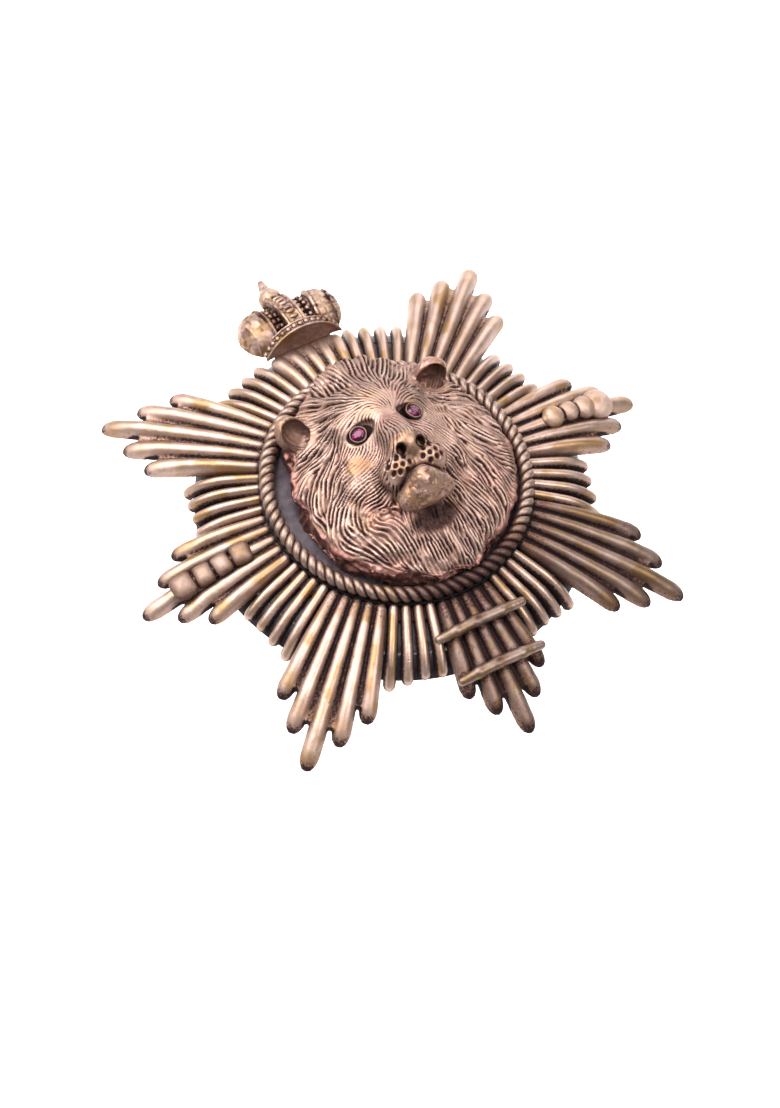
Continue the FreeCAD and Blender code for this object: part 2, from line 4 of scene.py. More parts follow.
import bpy
import numpy as np
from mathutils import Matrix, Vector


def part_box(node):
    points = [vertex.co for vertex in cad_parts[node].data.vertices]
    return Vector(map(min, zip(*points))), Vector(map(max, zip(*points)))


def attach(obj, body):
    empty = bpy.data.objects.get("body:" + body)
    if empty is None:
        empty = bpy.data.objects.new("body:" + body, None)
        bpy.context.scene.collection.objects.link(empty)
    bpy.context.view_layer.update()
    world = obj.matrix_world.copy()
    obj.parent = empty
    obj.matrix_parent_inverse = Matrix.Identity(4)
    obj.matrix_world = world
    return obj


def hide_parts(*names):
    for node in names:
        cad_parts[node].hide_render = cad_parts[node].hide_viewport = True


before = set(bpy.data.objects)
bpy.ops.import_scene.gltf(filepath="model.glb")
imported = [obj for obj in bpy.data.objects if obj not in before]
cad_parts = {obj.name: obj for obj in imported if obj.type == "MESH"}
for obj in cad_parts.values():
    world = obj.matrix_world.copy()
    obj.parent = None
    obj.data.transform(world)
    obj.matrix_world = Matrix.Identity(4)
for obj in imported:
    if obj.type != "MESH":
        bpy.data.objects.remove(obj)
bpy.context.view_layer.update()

import openvdb
from mathutils import Euler, Matrix, Vector

MM = 0.001                      # shapes are worked out in millimetres

# ---------------- frame facts
DIAGONAL_TIP = 35.0                                    # the diagonals set the star's size
CARDINAL_TIP = round(-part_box("plume_left")[0][0] / MM, 2)
DOME = 89.0                                            # radius of the star's dome
RAY_ROOT, RAY_HIGH, WEB_HIGH = 15.65, 1.82, 0.85
PITCH = math.radians(5.0)                              # angle between neighbouring rays
FLOOR_TOP = DIAGONAL_TIP ** 2 / (2 * DOME)


def ray_floor(r):
    """Height of the plumes' underside at radius r."""
    return FLOOR_TOP - r * r / (2 * DOME)


# The plate's rim bends down on an arc that is tangent to the dome.
BEND_AT, RIM_REACH, SEAT_GAP = 19.0, 24.0, 0.03
DOME_CENTRE = FLOOR_TOP - SEAT_GAP - DOME
BEND = math.asin(BEND_AT / DOME)
RIM_RADIUS = (RIM_REACH - BEND_AT) / (1 - math.sin(BEND))
RIM_X = RIM_REACH - RIM_RADIUS
RIM_Z = DOME_CENTRE + (DOME - RIM_RADIUS) * math.cos(BEND)
ROPE_RADIUS, ROPE_Z = 15.0, 7.74


# ---------------- camera, light, floor
def link(name, data):
    """A new object in the scene."""
    thing = bpy.data.objects.new(name, data)
    bpy.context.scene.collection.objects.link(thing)
    return thing


def make_camera():
    """The camera looks down on the star from the lower right of its face."""
    roll, tilt, heading = [math.radians(angle) for angle in (-9.778, -29.578, 37.556)]
    turn = (Matrix.Rotation(roll, 3, "Z") @ Matrix.Rotation(tilt, 3, "X")
            @ Matrix.Rotation(heading, 3, "Z")).transposed()
    aside, down, away = -0.0129, -0.1860, 14.7465      # in star radii, along the camera's axes
    aim_height = 3.6
    place = turn @ Vector((aside, down, away)) * DIAGONAL_TIP + Vector((0, 0, aim_height))
    data = bpy.data.cameras.new("camera")
    data.lens, data.sensor_width = 145.3, 36.0
    data.clip_start, data.clip_end = 0.01, 10
    camera = link("camera", data)
    camera.matrix_world = Matrix.Translation(place * MM) @ turn.to_4x4()
    bpy.context.scene.camera = camera


def make_area(name, where, aim, size, power, color):
    """A round soft light; places and sizes are in metres, power in watts."""
    data = bpy.data.lights.new(name, "AREA")
    data.shape, data.size, data.energy, data.color = "DISK", size, power, color
    light = link(name, data)
    light.location = where
    light.rotation_mode = "QUATERNION"
    light.rotation_quaternion = (Vector(aim) - Vector(where)).to_track_quat("-Z", "Y")


def make_studio():
    """Even daylight with three soft lamps, and pale paper under the badge."""
    world = bpy.data.worlds.new("studio")
    world.use_nodes = True
    back = world.node_tree.nodes["Background"]
    back.inputs["Color"].default_value = (0.93, 0.95, 1.0, 1)
    back.inputs["Strength"].default_value = 0.42
    bpy.context.scene.world = world
    aim = (0, 0, 0.008)
    make_area("key", (-0.23, 0.26, 0.48), aim, 0.80, 13.4, (1.0, 0.985, 0.965))
    make_area("side", (0.36, 0.36, 0.20), aim, 0.50, 2.4, (1.0, 0.98, 0.97))
    make_area("front", (0.18, -0.26, 0.50), aim, 0.34, 4.0, (1.0, 0.97, 0.94))
    bpy.context.scene.view_settings.view_transform = "Standard"
    side, low = 1.6, -0.05
    bpy.ops.mesh.primitive_grid_add(x_subdivisions=4, y_subdivisions=4, size=side,
                                    location=(0, 0, low))
    floor = bpy.context.object
    floor.name = "floor"
    mat = new_material("floor_paper")
    shader = mat.node_tree.nodes["Principled BSDF"]
    shader.inputs["Base Color"].default_value = (0.93, 0.93, 0.93, 1)
    shader.inputs["Roughness"].default_value = 0.9
    floor.data.materials.append(mat)


# ---------------- materials
def new_material(name):
    mat = bpy.data.materials.new(name)
    mat.use_nodes = True
    return mat


def add_node(tree, kind, **inputs):
    node = tree.nodes.new(kind)
    for key, value in inputs.items():
        node.inputs[key.replace("_", " ")].default_value = value
    return node


def ramp(tree, source, stops):
    """Stops are (position, grey or color) pairs."""
    node = tree.nodes.new("ShaderNodeValToRGB")
    band = node.color_ramp
    while len(band.elements) < len(stops):
        band.elements.new(0.5)
    for element, (at, color) in zip(band.elements, stops):
        element.position = at
        element.color = (*color, 1) if isinstance(color, tuple) else (color, color, color, 1)
    tree.links.new(source, node.inputs["Fac"])
    return node.outputs["Color"]


def mix(tree, factor, a, b):
    """The color a where the factor is 0 and b where it is 1."""
    node = tree.nodes.new("ShaderNodeMix")
    node.data_type = "RGBA"
    for socket, value in ((node.inputs[0], factor), (node.inputs[6], a), (node.inputs[7], b)):
        if isinstance(value, bpy.types.NodeSocket):
            tree.links.new(value, socket)
        elif isinstance(value, tuple):
            socket.default_value = (*value, 1)
        else:
            socket.default_value = value
    return node.outputs[2]


def math_node(tree, mode, a, b=0.0, clamp=False):
    node = tree.nodes.new("ShaderNodeMath")
    node.operation, node.use_clamp = mode, clamp
    for socket, value in zip(node.inputs, (a, b)):
        if isinstance(value, bpy.types.NodeSocket):
            tree.links.new(value, socket)
        else:
            socket.default_value = value
    return node.outputs[0]


def noise(tree, scale, detail=3.0, rough=0.55):
    """Noise in object space; scale is in features per metre."""
    coords = tree.nodes.new("ShaderNodeTexCoord")
    node = add_node(tree, "ShaderNodeTexNoise", Scale=scale, Detail=detail, Roughness=rough)
    tree.links.new(coords.outputs["Object"], node.inputs["Vector"])
    return node.outputs["Fac"]


def attribute(tree, name):
    node = tree.nodes.new("ShaderNodeAttribute")
    node.attribute_name = name
    return node.outputs["Fac"]


def add_bump(tree, height, strength, distance):
    bump = add_node(tree, "ShaderNodeBump", Strength=strength, Distance=distance)
    tree.links.new(height, bump.inputs["Height"])
    tree.links.new(bump.outputs["Normal"], tree.nodes["Principled BSDF"].inputs["Normal"])


ROSE, PALE, GOLD = (0.48, 0.33, 0.268), (0.66, 0.48, 0.405), (0.42, 0.255, 0.128)
COPPER, UMBER, SOOT = (0.30, 0.128, 0.112), (0.10, 0.045, 0.036), (0.03, 0.016, 0.017)


def bronze(name, tone, rough, gold, speck, copper=0.0, ragged=0.5):
    """Antiqued rose bronze. The mesh attributes place its layers, 0 to 1: cavity the
    dark patina, with painted shade and shadows on some pieces, worn the brassy rubbed spots, crest a
    painted highlight and copper the red.
    Tone scales the metal's color, and ragged is how broken the patina's edge is."""
    mat = new_material(name)
    tree = mat.node_tree
    calc = partial(math_node, tree)
    shader = tree.nodes["Principled BSDF"]
    cavity, worn = attribute(tree, "cavity"), attribute(tree, "worn")
    broad, fine = noise(tree, 230, 4), noise(tree, 3800, 3, 0.65)
    rose, pale, brass = [tuple(tone * c for c in color) for color in (ROSE, PALE, GOLD)]
    base = mix(tree, ramp(tree, broad, [(0.36, 0.0), (0.66, 1.0)]), rose, pale)
    patch = ramp(tree, noise(tree, 420, 3), [(0.44, 0.0), (0.62, 1.0)])
    patch = calc("ADD", calc("MULTIPLY", patch, gold), worn, clamp=True)
    base = mix(tree, patch, base, brass)
    if copper:
        red = calc("MULTIPLY", attribute(tree, "copper"), copper, clamp=True)
        base = mix(tree, red, base, COPPER)
    # Painted highlight: where crest is set the metal goes toward a paler copy.
    bright = tuple(min(1.0, 1.3 * c) for c in pale)
    base = mix(tree, attribute(tree, "crest"), base, bright)
    spots = calc("MULTIPLY", ramp(tree, fine, [(0.28, 1.0), (0.40, 0.0)]), speck)
    base = mix(tree, spots, base, UMBER)
    rim_starts, rim_gain = 0.24, 4.0                   # crests keep clear of the wobble
    rim = calc("MULTIPLY", calc("SUBTRACT", cavity, rim_starts), rim_gain, clamp=True)
    wobble = calc("MULTIPLY", calc("SUBTRACT", fine, 0.5), ragged)
    edge = calc("ADD", cavity, calc("MULTIPLY", wobble, rim), clamp=True)
    patina = mix(tree, ramp(tree, edge, [(0.35, 0.0), (0.8, 1.0)]), UMBER, SOOT)
    base = mix(tree, ramp(tree, edge, [(0.18, 0.0), (0.52, 0.72), (0.85, 1.0)]), base, patina)
    tree.links.new(base, shader.inputs["Base Color"])
    broad_gloss, patina_gloss = 0.22, 0.32
    gloss = calc("ADD", calc("MULTIPLY", broad, broad_gloss), rough - broad_gloss / 2)
    gloss = calc("ADD", gloss, calc("MULTIPLY", cavity, patina_gloss), clamp=True)
    tree.links.new(gloss, shader.inputs["Roughness"])
    shader.inputs["Metallic"].default_value = 1.0
    grit = calc("ADD", fine, calc("MULTIPLY", noise(tree, 9000, 2), 0.5))
    add_bump(tree, grit, strength=0.5, distance=0.000032)
    return mat


def plain_metal(name, color, dark, rough, scale=900):
    """Worn even metal for the plate, the dish and the fixings behind."""
    mat = new_material(name)
    tree = mat.node_tree
    calc = partial(math_node, tree)
    shader = tree.nodes["Principled BSDF"]
    broad, fine = noise(tree, scale, 4), noise(tree, scale * 6, 3, 0.6)
    base = mix(tree, ramp(tree, broad, [(0.35, 0.0), (0.65, 1.0)]), dark, color)
    base = mix(tree, ramp(tree, fine, [(0.30, 0.6), (0.42, 0.0)]), base, SOOT)
    tree.links.new(base, shader.inputs["Base Color"])
    gloss = calc("ADD", calc("MULTIPLY", fine, 0.25), rough - 0.12, clamp=True)
    tree.links.new(gloss, shader.inputs["Roughness"])
    shader.inputs["Metallic"].default_value = 1.0
    add_bump(tree, fine, strength=0.25, distance=0.00003)
    return mat


def garnet(name):
    """Dark red glass, nearly black, with magenta patches painted in as glints of light inside it."""
    mat = new_material(name)
    tree = mat.node_tree
    shader = tree.nodes["Principled BSDF"]
    dark, magenta = (0.014, 0.001, 0.005), (0.145, 0.006, 0.058)
    # The magenta patches are painted glints of light inside the stone.
    base = mix(tree, ramp(tree, noise(tree, 1500, 3), [(0.42, 0.0), (0.6, 1.0)]), dark, magenta)
    tree.links.new(base, shader.inputs["Base Color"])
    shader.inputs["Roughness"].default_value = 0.14
    shader.inputs["IOR"].default_value = 1.42
    return mat


# ---------------- numbers on points
def cell_corners(f):
    """Each corner of a cell, with its weight for points at the fractions f in it."""
    for dx, dy, dz in np.ndindex(2, 2, 2):
        weight = np.abs(1 - dx - f[:, 0]) * np.abs(1 - dy - f[:, 1]) * np.abs(1 - dz - f[:, 2])
        yield (dx, dy, dz), weight


def lumps(points, size, seed):
    """Smooth value noise, -1 to 1, with features of a given size in millimetres."""
    n = 32                                             # it repeats after 32 features
    lattice = np.random.default_rng(seed).random((n, n, n)).astype(np.float32)
    p = points / size
    cell = np.floor(p).astype(int)
    f = p - cell
    total = np.zeros(len(points), np.float32)
    for corner, weight in cell_corners(f * f * (3 - 2 * f)):
        i, j, k = ((cell + corner) % n).T
        total += weight * lattice[i, j, k]
    return total * 2 - 1


def highest(*layers):
    return reduce(np.maximum, layers)


def unit(rows):
    return rows / np.linalg.norm(rows, axis=1, keepdims=True)


def smoothstep(low, high, value):
    """0 at low and 1 at high, whichever is larger, with a smooth way between."""
    t = np.clip((value - low) / (high - low), 0, 1)
    return t * t * (3 - 2 * t)


def smooth_union(a, b, k):
    """The smaller of two distances, rounded over a width of k where they meet."""
    h = np.clip(0.5 + 0.5 * (b - a) / k, 0, 1)
    return b + (a - b) * h - k * h * (1 - h)


def smooth_cut(a, b, k):
    return -smooth_union(-a, b, k)


SHARP = 1e-3                                           # a corner with no rounding


class Field:
    """A distance field on a box of voxels, for castings with soft inner corners."""

    def __init__(self, low, high, step):
        self.low, self.step = np.array(low, np.float32), step
        axes = [np.arange(l, h, step, dtype=np.float32) for l, h in zip(low, high)]
        self.x, self.y, self.z = np.meshgrid(*axes, indexing="ij", sparse=True)
        self.d = None

    def part(self, centre, reach):
        """The same field inside a small box, sharing its voxels."""
        first = [int(max(0, (c - r - l) / self.step)) for c, r, l in zip(centre, reach, self.low)]
        last = [int(max(1, (c + r - l) / self.step)) for c, r, l in zip(centre, reach, self.low)]
        sub = object.__new__(Field)
        sub.step = self.step
        sub.low = self.low + np.array(first) * self.step
        sub.x = self.x[first[0]:last[0]]
        sub.y = self.y[:, first[1]:last[1]]
        sub.z = self.z[:, :, first[2]:last[2]]
        sub.d = self.d[first[0]:last[0], first[1]:last[1], first[2]:last[2]]
        return sub

    def ellipsoid(self, centre, radii, turn=None):
        """Turn is three angles in degrees, or the ellipsoid's own three axes."""
        p = [self.x - centre[0], self.y - centre[1], self.z - centre[2]]
        if turn is not None:
            angles = not isinstance(turn[0], Vector)
            rows = Euler([math.radians(a) for a in turn]).to_matrix().transposed() if angles else turn
            p = [row[0] * p[0] + row[1] * p[1] + row[2] * p[2] for row in rows]
        share = np.sqrt(sum((q / r) ** 2 for q, r in zip(p, radii)))
        slope = np.sqrt(sum((q / r ** 2) ** 2 for q, r in zip(p, radii))) + 1e-6
        return (share * (share - 1) / slope).astype(np.float32)

    def capsule(self, start, end, radius, end_radius=None):
        """A round bar; its end may be thicker or thinner than its start."""
        a = np.array(start, np.float32)
        ab = np.array(end, np.float32) - a
        p = [self.x - a[0], self.y - a[1], self.z - a[2]]
        t = np.clip((p[0] * ab[0] + p[1] * ab[1] + p[2] * ab[2]) / ab.dot(ab), 0, 1)
        away = np.sqrt(sum((q - t * c) ** 2 for q, c in zip(p, ab)))
        grow = 0 if end_radius is None else end_radius - radius
        return (away - radius - grow * t).astype(np.float32)

    def add(self, shape, soft=SHARP):
        shape = shape.astype(np.float32)
        if self.d is None:
            self.d = shape + 0 * (self.x + self.y + self.z)
        else:
            self.d[...] = smooth_union(self.d, shape, soft)

    def remove(self, shape, soft=SHARP):
        self.d[...] = smooth_cut(self.d, shape.astype(np.float32), soft)

    def cut_where(self, depth):
        """Cut away all that has a depth of more than 0."""
        self.d[...] = np.maximum(self.d, depth)

    def sample(self, points):
        top = np.array(self.d.shape) - 1.001
        p = np.clip((points - self.low) / self.step, 0, top)
        cell = p.astype(int)
        total = 0
        for corner, weight in cell_corners(p - cell):
            i, j, k = (cell + corner).T
            total = total + weight * self.d[i, j, k]
        return total

    def surface(self):
        """Points, faces and outward normals of the field's zero surface."""
        grid = openvdb.FloatGrid(10.0)
        grid.copyFromArray(np.ascontiguousarray(self.d, np.float32))
        points, quads = grid.convertToQuads(0.0)
        points = points * self.step + self.low
        steps = np.eye(3, dtype=np.float32) * (0.5 * self.step)
        normals = np.stack([self.sample(points + s) - self.sample(points - s) for s in steps], 1)
        normals /= np.linalg.norm(normals, axis=1, keepdims=True) + 1e-9
        quads = quads.astype(int)
        a, b, c = [points[quads[:, i]] for i in (0, 1, 2)]
        facing = np.einsum("ij,ij->i", np.cross(b - a, c - a), normals[quads[:, 0]]).sum()
        if facing < 0:
            quads = quads[:, ::-1]
        return points, quads, normals

    def hollow_at(self, points, normals, reach):
        """How enclosed each surface point is: 0 on open ground, 1 in a deep corner."""
        return np.clip(1 - self.sample(points + normals * reach) / reach, 0, 1)


def mesh_piece(name, points, faces, material, replaces, **attributes):
    """A mesh object in metres from points in millimetres, with point attributes."""
    faces = np.asarray(faces)
    mesh = bpy.data.meshes.new(name)
    count, size = faces.shape
    mesh.vertices.add(len(points))
    mesh.vertices.foreach_set("co", (np.asarray(points, np.float32) * MM).ravel())
    mesh.loops.add(count * size)
    mesh.loops.foreach_set("vertex_index", faces.ravel().astype(np.int32))
    mesh.polygons.add(count)
    mesh.polygons.foreach_set("loop_start", np.arange(0, count * size, size, dtype=np.int32))
    mesh.polygons.foreach_set("loop_total", np.full(count, size, np.int32))
    mesh.update(calc_edges=True)
    mesh.validate()
    mesh.polygons.foreach_set("use_smooth", np.ones(len(mesh.polygons), bool))
    for key in ("cavity", "worn", "copper", "crest"):
        values = attributes.get(key)
        layer = mesh.attributes.new(key, "FLOAT", "POINT")
        if values is not None:
            layer.data.foreach_set("value", np.asarray(values, np.float32))
    piece = link(name, mesh)
    mesh.materials.append(material)
    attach(piece, "badge")
    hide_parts(replaces)


def spin_points(points, angle):
    c, s = math.cos(angle), math.sin(angle)
    turned = points.copy()
    turned[:, 0] = c * points[:, 0] - s * points[:, 1]
    turned[:, 1] = s * points[:, 0] + c * points[:, 1]
    return turned


# ---------------- rays
def finger(across, up, along, half, high, start, end, nose):
    """Near-distance to a ray: half-round across, with a rounded nose and root."""
    tip = np.maximum(along - end + nose, 0) / nose
    root = np.maximum(start + 0.6 * nose - along, 0) / (0.6 * nose)
    power = 2.15                                       # a little fuller than round
    total = ((np.abs(across) / half) ** power + (np.maximum(up, 0) / high) ** power
             + np.maximum(tip, root) ** power) ** (1 / power)
    return (total - 1) * np.minimum(half, high) * 0.9


def ray_half(along):
    """Half the width of a plume ray: it swells quickly and then more slowly."""
    return 0.655 + 0.51 * (1 - np.exp(-(along - RAY_ROOT) / 6.7))


def plume_field(tips, tongue=None):
    """Five rays and their web along +X, as one casting. The web stops short of the
    rays' tips, or runs on as a tongue as far as the given radius."""
    reach = tongue + 0.4 if tongue else max(tips) + 0.5
    wide = reach * math.sin(3 * PITCH) + 0.3
    low = min(ray_floor(reach), 8) - 0.4
    field = Field((RAY_ROOT - 0.7, -wide, low), (reach, wide, 7.8), 0.115)
    r = np.sqrt(field.x ** 2 + field.y ** 2)
    angle = np.arctan2(field.y, field.x)
    slope = np.cos(np.arctan(r / DOME))
    up = (field.z - ray_floor(r)) * slope
    root_high, tip_drop = 1.5, 0.32
    swell = smoothstep(RAY_ROOT - 0.5, RAY_ROOT + 5, r)
    for i, tip in enumerate(tips):
        offset = angle - PITCH * (i - 2)
        across = r * np.sin(offset)
        along = r * np.cos(offset)
        high = root_high + (RAY_HIGH - root_high) * swell
        high = high * (1 - tip_drop * smoothstep(tip - 4.5, tip, along))
        nose = 1.7 * ray_half(tip)
        bar = finger(across, up, along, ray_half(along), high, RAY_ROOT - 0.3, tip + 0.25, nose)
        field.add(bar, 0.08)
    if tongue:
        web_end, half_angle = tongue, math.radians(9)
    else:
        ends = [min(a, b) - 1.3 for a, b in zip(tips, tips[1:])]
        web_end, half_angle = np.full_like(angle, ends[0]), 2 * PITCH
        for i, end in enumerate(ends):
            in_gap = np.abs(angle - PITCH * (i - 1.5)) < PITCH / 2
            web_end = np.where(in_gap, end, web_end)
    web = highest(up - WEB_HIGH, -up, (np.abs(angle) - half_angle) * r, r - web_end)
    field.add(web, 0.3)
    field.cut_where(RAY_ROOT - r)
    field.cut_where(-up)
    return field


def cast_finish(points, normals, cavity, seed, bump):
    """Hand-worked metal: dents of the height bump, fine pits and rubbed streaks."""
    dents = lumps(points, 1.7, seed) * 0.6 + lumps(points, 0.6, seed + 1) * 0.4
    grain = lumps(points, 0.22, seed + 2)
    pits = smoothstep(0.55, 0.85, grain + 0.35 * lumps(points, 2.5, seed))
    points = points + normals * (dents * bump - pits * 0.02 + grain * 0.006)[:, None]
    angle, r = np.arctan2(points[:, 1], points[:, 0]), np.hypot(points[:, 0], points[:, 1])
    along = np.stack([r * 0.4, angle * 26.0, points[:, 2] * 0.3], 1)
    streaks = smoothstep(0.25, 0.6, lumps(along, 1.0, seed + 3))
    return points, np.clip(cavity + pits * 0.14, 0, 1), streaks * (1 - cavity) * 0.9


def low_down(points, high, dirt_and_shade):
    """1 near the plumes' floor, where the patina and a painted shade on the rays' lower flanks stay,
    and 0 on the rays' crests.
    """
    r = np.hypot(points[:, 0], points[:, 1])
    return smoothstep(0.68 + 0.27 * dirt_and_shade, 0.30 + 0.3 * dirt_and_shade, (points[:, 2] - ray_floor(r)) / high)


BAR_Y = (19.8, 25.0)                    # how far down the two cross bars lie
# Name, shape, degrees round from +X, and how dark each plume is: its dirt together with painted shade
# on the side away from the lamps.
PLUMES = (("plume_upper_right", "diagonal", 45, 0.0), ("plume_upper_left", "diagonal", 135, 0.12),
          ("plume_lower_left", "diagonal", 225, 0.34), ("plume_lower_right", "diagonal", 315, 0.40),
          ("plume_right", "cardinal", 0, 0.20), ("plume_left", "cardinal", 180, 0.10),
          ("plume_bottom", "cardinal", 270, 0.52), ("plume_top", "top", 90, 0.05))


def stepped_tips(longest, middle_drop, outer_drop):
    """How far out each of a plume's five rays ends."""
    return [longest - drop for drop in (outer_drop, middle_drop, 0, middle_drop, outer_drop)]


def plume_patina_and_shade(field, points, normals, dirt_and_shade):
    """The patina and a painted shade on the lower flanks lie between the rays: where the surface is low
    and shut in or facing up.
    """
    hollow = field.hollow_at(points, normals, 0.5)
    run = np.hypot(points[:, 0], points[:, 1])
    webbed = smoothstep(np.max(run) - 7.0, np.max(run) - 9.5, run)
    floor_side = webbed * smoothstep(0.5, 0.85, normals[:, 2])
    shut_in = np.maximum(smoothstep(0.12, 0.45, hollow), floor_side)
    open_side = 0.26 + 0.12 * dirt_and_shade
    valley = low_down(points, RAY_HIGH, dirt_and_shade) * (open_side + (1 - open_side) * shut_in)
    return np.maximum(valley, hollow * low_down(points, 1.5 * RAY_HIGH, dirt_and_shade))


def make_plumes(bright, brown):
    shapes = {"diagonal": plume_field(stepped_tips(DIAGONAL_TIP, 3.3, 6.2)),
              "cardinal": plume_field(stepped_tips(CARDINAL_TIP, 3.1, 5.6)),
              "top": plume_field([22.3] * 5, tongue=29.5)}
    surfaces = {key: field.surface() for key, field in shapes.items()}
    # Plumes darker than this take the darker copy of the bronze: brown dirt and painted shade away from
    # the lamps.
    brown_from = 0.38
    for index, (label, shape, degrees, dirt_and_shade) in enumerate(PLUMES):
        points, quads, normals = surfaces[shape]
        cavity = plume_patina_and_shade(shapes[shape], points, normals, dirt_and_shade)
        angle = math.radians(degrees)
        points, normals = spin_points(points, angle), spin_points(normals, angle)
        dents = 0.022 + 0.14 * max(dirt_and_shade - 0.3, 0)
        points, cavity, worn = cast_finish(points, normals, cavity, 10 + 7 * index, dents)
        stain = smoothstep(-0.4, 0.8, lumps(points, 1.6, 70 + index))
        # Stains, scaled by the plume's darkness, which is dirt and painted shade on the side away from
        # the lamps.
        cavity = np.clip(cavity * (1 + 0.4 * dirt_and_shade) + 0.22 * dirt_and_shade * stain, 0, 1)
        # Painted shadow of the two cross bars on the bottom plume's rays.
        if label == "plume_bottom":
            bar_shadow = np.minimum(np.abs(points[:, 1] + BAR_Y[0]), np.abs(points[:, 1] + BAR_Y[1]))
            cavity = np.maximum(cavity, 0.62 * smoothstep(1.7, 0.7, bar_shadow))
        r = np.hypot(points[:, 0], points[:, 1])
        blotches = smoothstep(-0.2, 0.5, lumps(points, 2.2, 90 + index))
        rubbed = smoothstep(0.84, 1.0, r / np.max(r)) * blotches
        worn = np.clip(worn + 0.4 * rubbed, 0, 1)
        # Painted shade on the faces that look down.
        under = smoothstep(-0.2, -0.7, normals[:, 2])
        mesh_piece(label + "_cast", points, quads, brown if dirt_and_shade > brown_from else bright,
                   replaces=label, cavity=np.maximum(cavity, under * 0.6), worn=worn)


def short_up(r, z):
    """Height above the plate, which bends down near its rim."""
    flat = (z - ray_floor(r)) * math.cos(BEND)
    bent = np.sqrt((r - RIM_X) ** 2 + (z - RIM_Z) ** 2) - RIM_RADIUS - SEAT_GAP
    share = smoothstep(BEND_AT - 0.4, BEND_AT + 0.4, r)
    return flat * (1 - share) + bent * share


SHORT_HIGH, SHORT_SEAT = 1.2, 0.6       # a short ray's top and its middle over the rim's arc


def short_field():
    """Four short rays along +X that lie on the plate and bend down with its rim.
    The longest stands on the +Y side."""
    wide = 25 * math.sin(2.6 * PITCH)
    field = Field((RAY_ROOT - 0.6, -wide, 0.6), (25.4, wide, 7.4), 0.1)
    r = np.sqrt(field.x ** 2 + field.y ** 2)
    angle = np.arctan2(field.y, field.x)
    up = short_up(r, field.z)
    lean = np.arctan2(r - RIM_X, field.z - RIM_Z)
    run = np.where(r < BEND_AT, r, BEND_AT + (lean - BEND) * (RIM_RADIUS + SHORT_SEAT))
    top_radius = RIM_RADIUS + SEAT_GAP + SHORT_HIGH
    for i, tip in enumerate((23.95, 23.95, 24.3, 24.7)):
        across = r * np.sin(angle - PITCH * (i - 1.5))
        tip_lean = math.asin((tip - RIM_X) / top_radius)
        end = BEND_AT + (tip_lean - BEND) * (RIM_RADIUS + SHORT_SEAT)
        half = 0.64 + 0.012 * (run - RAY_ROOT)
        high = 1.32 - 0.02 * (run - RAY_ROOT)
        bar = finger(across, up, run, half, high, RAY_ROOT - 0.3, end, 1.15)
        field.add(bar, 0.08)
    web = highest(up - 0.5, -up, r - RAY_ROOT - 1.6, (np.abs(angle) - math.radians(9.6)) * r)
    field.add(web, 0.15)
    field.cut_where(RAY_ROOT - r)
    field.cut_where(-up)
    return field


def make_short_rays(material):
    """Eight castings; every second one is mirrored, so its longest ray changes sides."""
    points, quads, normals = short_field().surface()
    height = short_up(np.hypot(points[:, 0], points[:, 1]), points[:, 2]) / 1.3
    # Darkness of each casting round the star: dirt and painted shade on the side away from the lamps.
    dirt_and_shade_levels = (0.05, 0.35, 0.40, 0.45, 0.70, 0.85, 1.0, 0.80)
    for index, dirt_and_shade in enumerate(dirt_and_shade_levels):
        cavity = smoothstep(0.70 + 0.22 * dirt_and_shade, 0.26 + 0.22 * dirt_and_shade, height) * (0.75 + 0.25 * dirt_and_shade)
        flip = 1 - 2 * (index % 2)
        side = np.array((1, flip, 1), points.dtype)
        angle = math.radians(22.5 + 45 * index)
        turned, facing = spin_points(points * side, angle), spin_points(normals * side, angle)
        label = "short_rays_%d" % (index + 1)
        turned, dark, worn = cast_finish(turned, facing, cavity, 100 + 5 * index, 0.016)
        mesh_piece(label + "_cast", turned, quads[:, ::flip], material,
                   replaces=label, cavity=dark, worn=worn)


# ---------------- rope ring
def tube(centres, radius, sides=14):
    """Closed tube round a closed loop of centres, with a radius for each centre."""
    ahead = unit(np.roll(centres, -1, 0) - np.roll(centres, 1, 0))
    first = unit(np.cross(ahead, unit(centres * (1, 1, 0))))
    second = np.cross(first, ahead)
    turn = np.linspace(0, 2 * np.pi, sides, endpoint=False)
    ring = (first[:, None, :] * np.cos(turn)[None, :, None]
            + second[:, None, :] * np.sin(turn)[None, :, None])
    points = centres[:, None, :] + ring * radius.reshape(-1, 1, 1)
    n = len(centres)
    i, j = np.meshgrid(np.arange(n), np.arange(sides), indexing="ij")
    a, b = i * sides + j, ((i + 1) % n) * sides + j
    c, d = ((i + 1) % n) * sides + (j + 1) % sides, i * sides + (j + 1) % sides
    return points.reshape(-1, 3), np.stack([a, b, c, d], -1).reshape(-1, 4)


